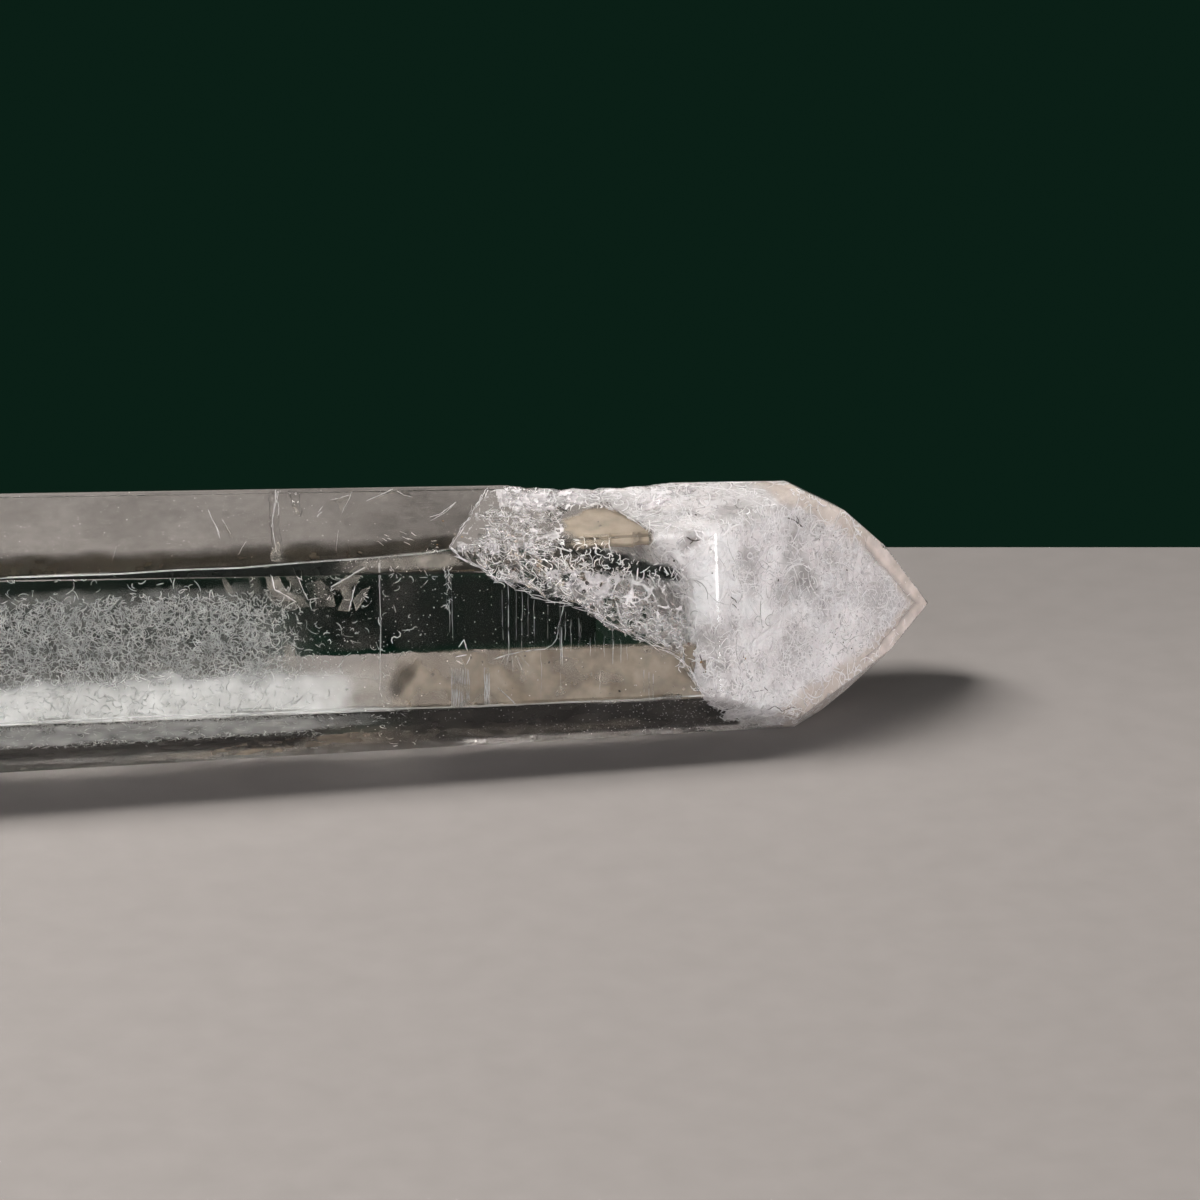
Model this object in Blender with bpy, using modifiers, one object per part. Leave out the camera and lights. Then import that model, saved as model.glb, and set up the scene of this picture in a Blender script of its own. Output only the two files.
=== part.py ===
"""Polished quartz point, lying on one of its six long faces.

One crystal, one solid. It is cut the way a lapidary would cut it: a rough block is
trimmed by one flat plane after another. Each plane is a row in one of the tables below:

  turn   the way the face looks, seen along the crystal, in degrees
         (0 = front, -Y; 90 = up, +Z; 180 = back, +Y; -90 = down, -Z)
  lean   how far the face tips toward the point, in degrees (0 = parallel to the axis)
  reach  distance of the face from the centre point of the prism, in millimetres

Quartz prism faces sit near 60 degrees apart and its end faces lean near 38 degrees. The
polishing moved each of them a little, which makes the six-sided prism slightly uneven.

Units are metres, +Z is up, +X is the pointed end. The origin is under the middle of the
crystal's box, on the surface that it lies on.
"""

import math

import bpy
import bmesh
from mathutils import Matrix, Vector

MM = 0.001

# ---------------------------------------------------------------- driving sizes
BLOCK = 300.0            # edge of the rough block that the faces are cut from
AXIS_HEIGHT = 12.5       # height of the prism's centre line above the resting face
BASE_CUT = 52.0          # distance from the centre point to the flat cut at the blunt end
EDGE_ROUND = 0.18        # width of the polished edges
EDGE_SEGMENTS = 2

# the six long faces of the prism
PRISM_FACES = {
    "top":        {"turn":   77.5, "lean": 0.8, "reach": 12.80},
    "front":      {"turn":   13.5, "lean": 2.7, "reach": 12.40},
    "front_low":  {"turn":  -48.0, "lean": 0.1, "reach": 12.45},
    "resting":    {"turn":  -90.0, "lean": 0.0, "reach": 12.50},
    "back_low":   {"turn": -143.5, "lean": 0.6, "reach": 10.55},
    "back_high":  {"turn":  136.5, "lean": 2.3, "reach": 10.85},
}

# the faces of the pointed end: one large one in front, and smaller ones round the point
POINT_FACES = {
    "point_front":         {"turn":   13.5, "lean": 36.5, "reach": 27.75},
    "point_front_low":     {"turn":  -48.5, "lean": 37.0, "reach": 34.65},
    "point_under":         {"turn":  -83.5, "lean": 37.0, "reach": 37.40},
    "point_under_heel":    {"turn":  -78.0, "lean": 29.0, "reach": 32.40},
    "point_back_low":      {"turn": -143.5, "lean": 41.5, "reach": 44.90},
    "point_back_high":     {"turn":  133.5, "lean": 36.5, "reach": 36.05},
    "point_back_shoulder": {"turn":  108.0, "lean": 39.0, "reach": 36.70},
    "point_top_shoulder":  {"turn":   99.5, "lean": 30.0, "reach": 31.25},
}


def face_normal(turn, lean):
    """Direction that a face looks in, from its turn round the axis and its lean."""
    t, l = math.radians(turn), math.radians(lean)
    return Vector((math.sin(l), -math.cos(l) * math.cos(t), math.cos(l) * math.sin(t)))


def trim(bm, normal, reach):
    """Cut off everything beyond one plane and close the cut with a flat face."""
    cut = bmesh.ops.bisect_plane(
        bm,
        geom=bm.verts[:] + bm.edges[:] + bm.faces[:],
        dist=1e-7,
        plane_co=normal * (reach * MM),
        plane_no=normal,
        clear_outer=True,
    )
    rim = [g for g in cut["geom_cut"] if isinstance(g, bmesh.types.BMEdge)]
    if rim:
        bmesh.ops.edgeloop_fill(bm, edges=rim)


def quartz_material():
    """Clear, faintly warm quartz with a polished surface."""
    mat = bpy.data.materials.new("clear_quartz")
    mat.use_nodes = True
    bsdf = mat.node_tree.nodes["Principled BSDF"]
    bsdf.inputs["Base Color"].default_value = (0.93, 0.92, 0.90, 1.0)
    bsdf.inputs["Roughness"].default_value = 0.04
    bsdf.inputs["Metallic"].default_value = 0.0
    bsdf.inputs["IOR"].default_value = 1.548
    bsdf.inputs["Transmission Weight"].default_value = 1.0
    mat.diffuse_color = (0.85, 0.84, 0.82, 1.0)
    return mat


def make_crystal(collection):
    bm = bmesh.new()
    bmesh.ops.create_cube(bm, size=BLOCK * MM)

    for face in (*PRISM_FACES.values(), *POINT_FACES.values()):
        trim(bm, face_normal(face["turn"], face["lean"]), face["reach"])
    trim(bm, Vector((-1.0, 0.0, 0.0)), BASE_CUT)

    bmesh.ops.remove_doubles(bm, verts=bm.verts[:], dist=1e-6)
    bmesh.ops.dissolve_limit(bm, angle_limit=math.radians(0.05),
                             verts=bm.verts[:], edges=bm.edges[:])
    bmesh.ops.recalc_face_normals(bm, faces=bm.faces[:])

    # the resting face goes to z = 0, and the box's middle goes over the origin
    xs = [v.co.x for v in bm.verts]
    ys = [v.co.y for v in bm.verts]
    shift = Vector((-(min(xs) + max(xs)) / 2.0, -(min(ys) + max(ys)) / 2.0, AXIS_HEIGHT * MM))
    bmesh.ops.transform(bm, matrix=Matrix.Translation(shift), verts=bm.verts[:])

    mesh = bpy.data.meshes.new("quartz_point")
    bm.to_mesh(mesh)
    bm.free()

    obj = bpy.data.objects.new("quartz_point", mesh)
    collection.objects.link(obj)
    mesh.materials.append(quartz_material())

    # every edge is softened a little by the polishing
    soft = obj.modifiers.new("polished_edges", "BEVEL")
    soft.width = EDGE_ROUND * MM
    soft.segments = EDGE_SEGMENTS
    soft.limit_method = "ANGLE"
    soft.angle_limit = math.radians(8.0)
    soft.use_clamp_overlap = True
    return obj


for old in list(bpy.data.objects):
    bpy.data.objects.remove(old, do_unlink=True)

parts = bpy.data.collections.new("quartz_point_parts")
bpy.context.scene.collection.children.link(parts)
make_crystal(parts)
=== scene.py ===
"""Looks of the polished quartz point: its surface, and everything sealed inside it.

All lengths are metres, in the frame of the CAD model: +X along the crystal towards its
point, +Z up, and the surface that it lies on at z = 0.
"""

import math

import bmesh
import bpy
import numpy as np
from mathutils import Matrix, Vector


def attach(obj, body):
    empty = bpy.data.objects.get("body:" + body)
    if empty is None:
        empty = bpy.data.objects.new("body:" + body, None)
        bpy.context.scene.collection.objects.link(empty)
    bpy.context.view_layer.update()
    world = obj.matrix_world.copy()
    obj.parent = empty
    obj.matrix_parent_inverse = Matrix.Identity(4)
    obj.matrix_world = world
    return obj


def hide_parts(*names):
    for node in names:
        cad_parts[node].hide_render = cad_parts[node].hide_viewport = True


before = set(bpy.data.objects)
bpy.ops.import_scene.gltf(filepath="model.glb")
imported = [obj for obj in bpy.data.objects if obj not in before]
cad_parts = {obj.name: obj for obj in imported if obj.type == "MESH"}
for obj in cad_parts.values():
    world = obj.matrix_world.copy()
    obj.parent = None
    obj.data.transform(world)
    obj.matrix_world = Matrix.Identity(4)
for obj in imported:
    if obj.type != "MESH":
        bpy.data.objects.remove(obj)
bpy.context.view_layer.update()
scene = bpy.context.scene
MM = 0.001

# ---------------------------------------------------------------- camera
SIDE = 1200.0                               # the photograph is 1200 x 1200
HALF_VIEW = math.radians(8.0)
FOCAL = SIDE / 2.0 / math.tan(HALF_VIEW)    # in pixels
PITCH = math.radians(20.3)
YAW = math.atan(0.0576 / math.sin(PITCH)) - math.radians(0.8)
DISTANCE = FOCAL * 0.000102
RIGHT = np.array([math.cos(YAW), -math.sin(YAW), 0.0])
UP = np.array([math.sin(YAW) * math.sin(PITCH), math.cos(YAW) * math.sin(PITCH), math.cos(PITCH)])
AHEAD = np.array([math.sin(YAW) * math.cos(PITCH), math.cos(YAW) * math.cos(PITCH), -math.sin(PITCH)])


def ray(px, py):
    """Direction from the camera through a pixel of the photograph, one focal length long."""
    return (AHEAD * FOCAL + RIGHT * (px - 600.0) - UP * (py - 600.0)) / FOCAL


EYE = np.array([-0.002865, -0.004837, 0.0]) - DISTANCE * ray(400.0, 751.0)


def on_floor(px, py):
    r = ray(px, py)
    return EYE - r * (EYE[2] / r[2])


lens = bpy.data.cameras.new("view")
lens.sensor_width = 36.0
lens.lens = 18.0 / math.tan(HALF_VIEW)
lens.clip_start = 0.01
camera = bpy.data.objects.new("view", lens)
scene.collection.objects.link(camera)
camera.matrix_world = (Matrix.Translation(Vector(EYE))
                       @ Matrix((RIGHT, UP, -AHEAD)).transposed().to_4x4())
scene.camera = camera


# ---------------------------------------------------------------- small helpers
def new_object(name, points, faces, material=None, smooth=False):
    mesh = bpy.data.meshes.new(name)
    mesh.from_pydata([tuple(p) for p in points], [], [tuple(f) for f in faces])
    mesh.update()
    if smooth:
        mesh.polygons.foreach_set("use_smooth", [True] * len(mesh.polygons))
    obj = bpy.data.objects.new(name, mesh)
    scene.collection.objects.link(obj)
    if material is not None:
        mesh.materials.append(material)
    return obj


def nodes_of(name):
    mat = bpy.data.materials.new(name)
    mat.use_nodes = True
    tree = mat.node_tree
    return mat, tree, tree.nodes["Principled BSDF"]


# ---------------------------------------------------------------- stage
# A pale, level surface that ends a little way behind the crystal. Past its far edge there
# is only a plain dark surround.
edge = on_floor(600.0, 547.0)
along = RIGHT
back = np.array([-RIGHT[1], RIGHT[0], 0.0])
FLOOR_DROP = np.array([0.0, 0.0, -0.00004])
floor_mat, tree, bsdf = nodes_of("pale_surface")
bsdf.inputs["Roughness"].default_value = 0.75
bsdf.inputs["Specular IOR Level"].default_value = 0.25
coord = tree.nodes.new("ShaderNodeTexCoord")
grain = tree.nodes.new("ShaderNodeTexNoise")
grain.inputs["Scale"].default_value = 260.0
grain.inputs["Detail"].default_value = 5.0
ramp = tree.nodes.new("ShaderNodeValToRGB")
ramp.color_ramp.elements[0].position = 0.3
ramp.color_ramp.elements[0].color = (0.118, 0.107, 0.101, 1)
ramp.color_ramp.elements[1].position = 0.7
ramp.color_ramp.elements[1].color = (0.127, 0.115, 0.109, 1)
tree.links.new(coord.outputs["Object"], grain.inputs["Vector"])
tree.links.new(grain.outputs["Fac"], ramp.inputs["Fac"])
# painted shade: the floor's colour darkens towards its far edge, as the light there falls off
apart = tree.nodes.new("ShaderNodeSeparateXYZ")      # a little darker towards its far edge
darker = tree.nodes.new("ShaderNodeMapRange")
darker.interpolation_type = "SMOOTHSTEP"
darker.inputs["From Min"].default_value = -0.030
darker.inputs["From Max"].default_value = 0.045
darker.inputs["To Min"].default_value = 0.93
darker.inputs["To Max"].default_value = 0.76
shaded = tree.nodes.new("ShaderNodeVectorMath")
shaded.operation = "SCALE"
tree.links.new(coord.outputs["Object"], apart.inputs["Vector"])
tree.links.new(apart.outputs["Y"], darker.inputs["Value"])
tree.links.new(ramp.outputs["Color"], shaded.inputs[0])
tree.links.new(darker.outputs["Result"], shaded.inputs["Scale"])
tree.links.new(shaded.outputs["Vector"], bsdf.inputs["Base Color"])
floor = new_object("floor", [edge - along * 1.6 + FLOOR_DROP, edge - along * 1.6 - back * 1.6 + FLOOR_DROP,
                             edge + along * 1.6 - back * 1.6 + FLOOR_DROP, edge + along * 1.6 + FLOOR_DROP],
                   [(0, 1, 2, 3)], floor_mat)

world = bpy.data.worlds.new("surroundings")
scene.world = world
world.use_nodes = True
world.node_tree.nodes["Background"].inputs["Color"].default_value = (0.0033, 0.0135, 0.0080, 1.0)
world.node_tree.nodes["Background"].inputs["Strength"].default_value = 1.0


def soft_light(name, direction, distance, size, power, colour=(1.0, 1.0, 1.0)):
    lamp = bpy.data.lights.new(name, "AREA")
    lamp.shape = "SQUARE"
    lamp.size = size
    lamp.energy = power
    lamp.color = colour
    obj = bpy.data.objects.new(name, lamp)
    scene.collection.objects.link(obj)
    d = Vector(direction).normalized()
    obj.location = d * distance
    obj.rotation_euler = (-d).to_track_quat("-Z", "Y").to_euler()
    return obj


soft_light("key", (-0.70, 0.15, 1.0), 0.95, 0.34, 34.0, (1.0, 0.985, 0.96))
soft_light("fill", (-1.0, -0.85, 0.50), 1.2, 0.7, 7.5, (0.97, 0.98, 1.0))
soft_light("side", (1.0, -0.90, 0.30), 1.2, 0.55, 22.0, (1.0, 0.98, 0.985))

scene.view_settings.view_transform = "Standard"
scene.cycles.max_bounces = 36
scene.cycles.transmission_bounces = 32
scene.cycles.glossy_bounces = 12
scene.cycles.diffuse_bounces = 12
scene.cycles.transparent_max_bounces = 24

# ---------------------------------------------------------------- crystal surface
quartz, tree, bsdf = nodes_of("clear_quartz")
bsdf.inputs["Base Color"].default_value = (1.0, 1.0, 1.0, 1.0)
bsdf.inputs["IOR"].default_value = 1.548
bsdf.inputs["Transmission Weight"].default_value = 1.0
where = tree.nodes.new("ShaderNodeTexCoord")
rub = tree.nodes.new("ShaderNodeTexNoise")           # patches that the polishing left duller
rub.inputs["Scale"].default_value = 260.0
rub.inputs["Detail"].default_value = 6.0
dull = tree.nodes.new("ShaderNodeMapRange")
dull.inputs["From Min"].default_value = 0.42
dull.inputs["From Max"].default_value = 0.75
dull.inputs["To Min"].default_value = 0.0
dull.inputs["To Max"].default_value = 0.055
wave = tree.nodes.new("ShaderNodeTexNoise")          # the slight unevenness of a hand-polished face
wave.inputs["Scale"].default_value = 420.0
wave.inputs["Detail"].default_value = 4.0
relief = tree.nodes.new("ShaderNodeBump")
relief.inputs["Strength"].default_value = 0.25
relief.inputs["Distance"].default_value = 0.00004
tree.links.new(where.outputs["Object"], rub.inputs["Vector"])
tree.links.new(where.outputs["Object"], wave.inputs["Vector"])
tree.links.new(rub.outputs["Fac"], dull.inputs["Value"])
tree.links.new(dull.outputs["Result"], bsdf.inputs["Roughness"])
tree.links.new(wave.outputs["Fac"], relief.inputs["Height"])
tree.links.new(relief.outputs["Normal"], bsdf.inputs["Normal"])
absorb = tree.nodes.new("ShaderNodeVolumeAbsorption")
absorb.inputs["Color"].default_value = (0.86, 0.78, 0.66, 1.0)
absorb.inputs["Density"].default_value = 6.0
tree.links.new(absorb.outputs["Volume"], tree.nodes["Material Output"].inputs["Volume"])

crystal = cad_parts["quartz_point"]
for slot in crystal.material_slots:
    slot.material = quartz


# ---------------------------------------------------------------- the crystal's flat faces
# turn and lean in degrees and reach in millimetres, as the solid is cut
CENTRE = np.array([-2.88162, 0.16347, 12.5]) * MM
CUTS = [
    (77.5, 0.8, 12.80), (13.5, 2.7, 12.40), (-48.0, 0.1, 12.45),
    (-90.0, 0.0, 12.50), (-143.5, 0.6, 10.55), (136.5, 2.3, 10.85),
    (13.5, 36.5, 27.75), (-48.5, 37.0, 34.65), (-83.5, 37.0, 37.40), (-78.0, 29.0, 32.40),
    (-143.5, 41.5, 44.90), (133.5, 36.5, 36.05), (108.0, 39.0, 36.70), (99.5, 30.0, 31.25),
]
TOP, FRONT, FRONT_LOW, RESTING, BACK_LOW, BACK_HIGH = range(6)


def normal_of(turn, lean):
    t, l = math.radians(turn), math.radians(lean)
    return (math.sin(l), -math.cos(l) * math.cos(t), math.cos(l) * math.sin(t))


NORMALS = np.array([normal_of(t, l) for t, l, _ in CUTS] + [(-1.0, 0.0, 0.0)])
REACHES = np.array([r * MM for _, _, r in CUTS] + [0.052]) + NORMALS @ CENTRE
INDEX = 1.548


def outside(points):
    """How far points lie outside the crystal, negative inside it."""
    return np.maximum((points @ NORMALS.T - REACHES).max(axis=-1), over_dip(points))


def enter(px, py):
    """Where the line of sight through pixels of the photograph meets the crystal, the
    direction it takes inside, and how far it runs there before the next face."""
    px, py = np.broadcast_arrays(np.asarray(px, float), np.asarray(py, float))
    d = (AHEAD * FOCAL + RIGHT * (px - 600.0)[..., None] - UP * (py - 600.0)[..., None])
    d = d / np.linalg.norm(d, axis=-1, keepdims=True)
    facing = d @ NORMALS.T
    t = (REACHES - EYE @ NORMALS.T) / facing
    t = np.where(facing < 0, t, -1.0)
    face = t.argmax(axis=-1)
    start = EYE + d * t.max(axis=-1)[..., None]
    n = NORMALS[face]
    c = -(d * n).sum(axis=-1)[..., None]
    k = 1.0 / INDEX
    d = k * d + (k * c - np.sqrt(1.0 - k * k * (1.0 - c * c))) * n
    facing = d @ NORMALS.T
    t = np.where(facing > 1e-6, (REACHES - start @ NORMALS.T) / np.where(facing > 1e-6, facing, 1.0), 1.0)
    return start, d, t.min(axis=-1)


def spot(px, py, depth=None, share=None):
    """The point inside the crystal seen at a pixel, at a depth in millimetres or as a share
    of the whole way through."""
    start, d, length = enter(px, py)
    if share is not None:
        depth = np.asarray(share, float) * length
    else:
        depth = np.asarray(depth, float) * MM
    return start + d * np.broadcast_to(depth, length.shape)[..., None]


# ---------------------------------------------------------------- noise on arrays of points
def scramble(ix, iy, iz, seed):
    h = (ix * 374761393 + iy * 668265263 + iz * 1442695041 + seed * 1274126177) & 0xFFFFFFFF
    h = ((h ^ (h >> 13)) * 1274126177) & 0xFFFFFFFF
    h = ((h ^ (h >> 16)) * 2246822519) & 0xFFFFFFFF
    h = h ^ (h >> 13)
    return h / 4294967295.0


def swell(points, size, seed=0):
    """Smooth value noise between -1 and 1 with bumps of about the given size."""
    q = points / size
    i = np.floor(q).astype(np.int64)
    f = q - i
    f = f * f * f * (f * (f * 6 - 15) + 10)
    out = 0.0
    for dx in (0, 1):
        for dy in (0, 1):
            for dz in (0, 1):
                w = ((f[..., 0] if dx else 1 - f[..., 0]) * (f[..., 1] if dy else 1 - f[..., 1])
                     * (f[..., 2] if dz else 1 - f[..., 2]))
                out = out + w * scramble(i[..., 0] + dx, i[..., 1] + dy, i[..., 2] + dz, seed)
    return out * 2.0 - 1.0


def cells(points, size, seed=0):
    """Distances to the nearest and second nearest of scattered seeds, in units of size."""
    q = points / size
    i = np.floor(q).astype(np.int64)
    best = np.full(q.shape[:-1], 9.0)
    second = np.full(q.shape[:-1], 9.0)
    tag = np.zeros(q.shape[:-1])
    for dx in (-1, 0, 1):
        for dy in (-1, 0, 1):
            for dz in (-1, 0, 1):
                c = i + (dx, dy, dz)
                s = [scramble(c[..., 0], c[..., 1], c[..., 2], seed + k) for k in range(3)]
                at = c + np.stack(s, axis=-1)
                dist = np.linalg.norm(q - at, axis=-1)
                near = dist < best
                second = np.where(near, best, np.minimum(second, dist))
                tag = np.where(near, s[0], tag)
                best = np.where(near, dist, best)
    return best, second, tag


def step(a, b, x):
    t = np.clip((x - a) / (b - a), 0.0, 1.0)
    return t * t * (3 - 2 * t)


# ---------------------------------------------------------------- the rough dip
# Near the milky end the back edge of the top face is worn down where the healed fracture
# reaches the surface. The dip is a shallow rough valley along that edge.
DIP_UP = np.array([0.0, math.sin(math.radians(17.0)), math.cos(math.radians(17.0))])
DIP_ACROSS = np.array([0.0, math.cos(math.radians(17.0)), -math.sin(math.radians(17.0))])


def edge_height(x):
    """How high the top face's back edge is along DIP_UP, at places along the crystal."""
    a = np.array([NORMALS[TOP][1:], NORMALS[BACK_HIGH][1:]])
    ends = [np.linalg.solve(a, [REACHES[TOP] - NORMALS[TOP][0] * at, REACHES[BACK_HIGH] - NORMALS[BACK_HIGH][0] * at])
            @ DIP_UP[1:] for at in (0.0, 0.03)]
    return ends[0] + (ends[1] - ends[0]) * x / 0.03


def dip_surface(x, across):
    """Height of the worn surface along DIP_UP. Away from the dip it passes above the edge."""
    q = np.stack([x, across, 0.0 * x], axis=-1)
    deep = np.interp(x / MM, [8.2, 9.6, 11.0, 13.0, 14.6, 17.0, 19.5, 22.0, 24.4, 26.4, 28.0],
                     [-0.40, 0.12, 0.34, 0.50, 0.66, 0.62, 0.64, 0.52, 0.34, 0.06, -0.40])
    rough = 0.13 * swell(q, 0.0016, 401) + 0.09 * swell(q, 0.0007, 402) + 0.03 * swell(q, 0.0003, 403)
    return edge_height(x) - (deep + np.where(deep > 0, rough, 0.0)) * MM


def over_dip(points):
    return points @ DIP_UP - dip_surface(points[..., 0], points @ DIP_ACROSS)


def worn_crystal():
    """The CAD solid with the dip cut out of it."""
    source = bmesh.new()
    source.from_mesh(crystal.data)
    source.transform(crystal.matrix_world)
    bmesh.ops.remove_doubles(source, verts=source.verts[:], dist=1e-7)
    bmesh.ops.dissolve_limit(source, angle_limit=math.radians(0.02), verts=source.verts[:], edges=source.edges[:])
    mesh = bpy.data.meshes.new("crystal_surface")
    source.to_mesh(mesh)
    source.free()
    surface = bpy.data.objects.new("crystal_surface", mesh)
    scene.collection.objects.link(surface)
    xs = np.arange(0.0078, 0.0284, 0.00016)
    middle = edge_height(0.018)
    edge_y = np.linalg.solve(np.array([NORMALS[TOP][1:], NORMALS[BACK_HIGH][1:]]),
                             [REACHES[TOP] - NORMALS[TOP][0] * 0.018, REACHES[BACK_HIGH] - NORMALS[BACK_HIGH][0] * 0.018])
    centre = edge_y @ DIP_ACROSS[1:]
    cross = np.arange(-0.0026, 0.0027, 0.00016) + centre
    x, c = np.meshgrid(xs, cross, indexing="ij")
    up = dip_surface(x, c)
    low = np.stack([x, 0 * x, 0 * x], axis=-1) + c[..., None] * DIP_ACROSS + up[..., None] * DIP_UP
    high = np.stack([x, 0 * x, 0 * x], axis=-1) + c[..., None] * DIP_ACROSS + (middle + 0.004) * DIP_UP
    rows, cols = x.shape
    keep = np.ones((rows - 1, cols - 1), bool)
    i, j = np.nonzero(keep)
    a = i * cols + j
    quads = np.stack([a, a + cols, a + cols + 1, a + 1], axis=1)
    shift = rows * cols
    ring = ([(k * cols, (k + 1) * cols) for k in range(rows - 1)]
            + [((rows - 1) * cols + k, (rows - 1) * cols + k + 1) for k in range(cols - 1)]
            + [((k + 1) * cols + cols - 1, k * cols + cols - 1) for k in range(rows - 1)]
            + [(k + 1, k) for k in range(cols - 1)])
    walls = [(b, a0, a0 + shift, b + shift) for a0, b in ring]
    faces = [tuple(q) for q in quads] + [tuple(q[::-1] + shift) for q in quads] + walls
    cutter = new_object("cutter", np.concatenate([low.reshape(-1, 3), high.reshape(-1, 3)]), faces)
    tidy = bmesh.new()
    tidy.from_mesh(cutter.data)
    bmesh.ops.recalc_face_normals(tidy, faces=tidy.faces[:])
    tidy.to_mesh(cutter.data)
    tidy.free()
    cut = surface.modifiers.new("dip", "BOOLEAN")
    cut.operation = "DIFFERENCE"
    cut.solver = "EXACT"
    cut.object = cutter
    shaped = bpy.data.meshes.new_from_object(surface.evaluated_get(bpy.context.evaluated_depsgraph_get()))
    surface.modifiers.clear()
    surface.data = shaped
    shaped.name = "crystal_surface"
    bpy.data.objects.remove(cutter)
    bpy.data.meshes.remove(mesh)
    shaped.materials.clear()
    shaped.materials.append(quartz)
    shaped.polygons.foreach_set("use_smooth", [False] * len(shaped.polygons))
    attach(surface, "root")
    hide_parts("quartz_point")
    return surface


worn_crystal()


# ---------------------------------------------------------------- mesh builders
def mesh_piece(name, points, tris, material, smooth=False, quads=None):
    """One piece from arrays of points, triangles and quads. It rides on the crystal."""
    points = np.asarray(points, np.float32).reshape(-1, 3)
    tris = np.asarray(tris, np.int32).reshape(-1, 3)
    quads = np.zeros((0, 4), np.int32) if quads is None else np.asarray(quads, np.int32).reshape(-1, 4)
    mesh = bpy.data.meshes.new(name)
    mesh.vertices.add(len(points))
    mesh.vertices.foreach_set("co", points.ravel())
    loops = np.concatenate([tris.ravel(), quads.ravel()])
    mesh.loops.add(len(loops))
    mesh.loops.foreach_set("vertex_index", loops)
    count = len(tris) + len(quads)
    starts = np.concatenate([np.arange(len(tris)) * 3, len(tris) * 3 + np.arange(len(quads)) * 4])
    mesh.polygons.add(count)
    mesh.polygons.foreach_set("loop_start", starts.astype(np.int32))
    mesh.update(calc_edges=True)
    mesh.validate()
    if smooth:
        mesh.polygons.foreach_set("use_smooth", [True] * len(mesh.polygons))
    mesh.materials.append(material)
    obj = bpy.data.objects.new(name, mesh)
    scene.collection.objects.link(obj)
    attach(obj, "root")
    return obj


def note(obj, name, values):
    """Writes one number on each point of a mesh, for its material to read."""
    attribute = obj.data.attributes.new(name, "FLOAT", "POINT")
    attribute.data.foreach_set("value", np.asarray(values, np.float32))


def unit(v):
    return v / np.maximum(np.linalg.norm(v, axis=-1, keepdims=True), 1e-12)


def threads(name, paths, radii, material, sides=3, smooth=True):
    """Thin closed tubes along paths (count, steps, 3), each with its own radius."""
    n, k, _ = paths.shape
    tangent = unit(np.gradient(paths, axis=1))
    ref = np.where(np.abs(tangent[:, :1, 2:]) < 0.9, np.array([0.0, 0.0, 1.0]), np.array([1.0, 0.0, 0.0]))
    a = unit(np.cross(tangent, np.broadcast_to(ref, tangent.shape)))
    b = np.cross(tangent, a)
    taper = np.sin(np.linspace(0.12, 1.0 - 0.12, k) * math.pi) ** 0.6
    r = radii[:, None] * taper[None, :]
    angle = np.arange(sides) / sides * 2 * math.pi
    ring = (paths[:, :, None, :]
            + r[:, :, None, None] * (np.cos(angle)[None, None, :, None] * a[:, :, None, :]
                                     + np.sin(angle)[None, None, :, None] * b[:, :, None, :]))
    points = np.concatenate([ring.reshape(n, -1, 3), paths[:, :1], paths[:, -1:]], axis=1)
    points[:, -2] -= tangent[:, 0] * radii[:, None]
    points[:, -1] += tangent[:, -1] * radii[:, None]
    per = k * sides + 2
    quads, tris = [], []
    for j in range(k - 1):
        for s in range(sides):
            t = (s + 1) % sides
            quads.append((j * sides + s, j * sides + t, (j + 1) * sides + t, (j + 1) * sides + s))
    for s in range(sides):
        t = (s + 1) % sides
        tris.append((k * sides, t, s))
        tris.append((k * sides + 1, (k - 1) * sides + s, (k - 1) * sides + t))
    base = (np.arange(n) * per)[:, None, None]
    return mesh_piece(name, points.reshape(-1, 3), (np.array(tris)[None] + base).reshape(-1, 3), material,
                      smooth, (np.array(quads)[None] + base).reshape(-1, 4))


def arcs(centres, lengths, bends, rng, steps=5, flat=None, flatness=0.0):
    """Curved paths through centres. bends is the whole turn of each in radians. With flat,
    a direction, they keep mostly across it."""
    n = len(centres)
    a = unit(rng.normal(size=(n, 3)))
    if flat is not None:
        a = unit(a - flatness * (a @ flat)[:, None] * flat)
    b = rng.normal(size=(n, 3))
    if flat is not None:
        b = b - flatness * (b @ flat)[:, None] * flat
    b = unit(b - (b * a).sum(-1, keepdims=True) * a)
    bends = np.maximum(bends, 0.02)
    radius = lengths / bends
    th = (np.linspace(-0.5, 0.5, steps)[None] * bends[:, None])
    return (centres[:, None] + radius[:, None, None] * (np.sin(th)[..., None] * a[:, None]
                                                      + (1 - np.cos(th))[..., None] * b[:, None]))


def inside_only(paths, margin):
    return paths[(outside(paths) < -margin).all(axis=1)]


def grains(name, centres, radii, material, rng, stretch=0.5):
    """Tiny eight-sided grains."""
    n = len(centres)
    base = np.array([(1, 0, 0), (-1, 0, 0), (0, 1, 0), (0, -1, 0), (0, 0, 1), (0, 0, -1)], float)
    faces = np.array([(0, 2, 4), (2, 1, 4), (1, 3, 4), (3, 0, 4), (2, 0, 5), (1, 2, 5), (3, 1, 5), (0, 3, 5)])
    x = unit(rng.normal(size=(n, 3)))
    y = unit(np.cross(x, rng.normal(size=(n, 3))))
    z = np.cross(x, y)
    frame3 = np.stack([x, y, z], axis=1)
    size = radii[:, None] * (1.0 + stretch * rng.uniform(-1, 1, size=(n, 3)))
    local = base[None] * size[:, None]
    points = centres[:, None] + np.einsum("nij,njk->nik", local, frame3)
    tris = faces[None] + (np.arange(n) * 6)[:, None, None]
    return mesh_piece(name, points.reshape(-1, 3), tris.reshape(-1, 3), material)


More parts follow.
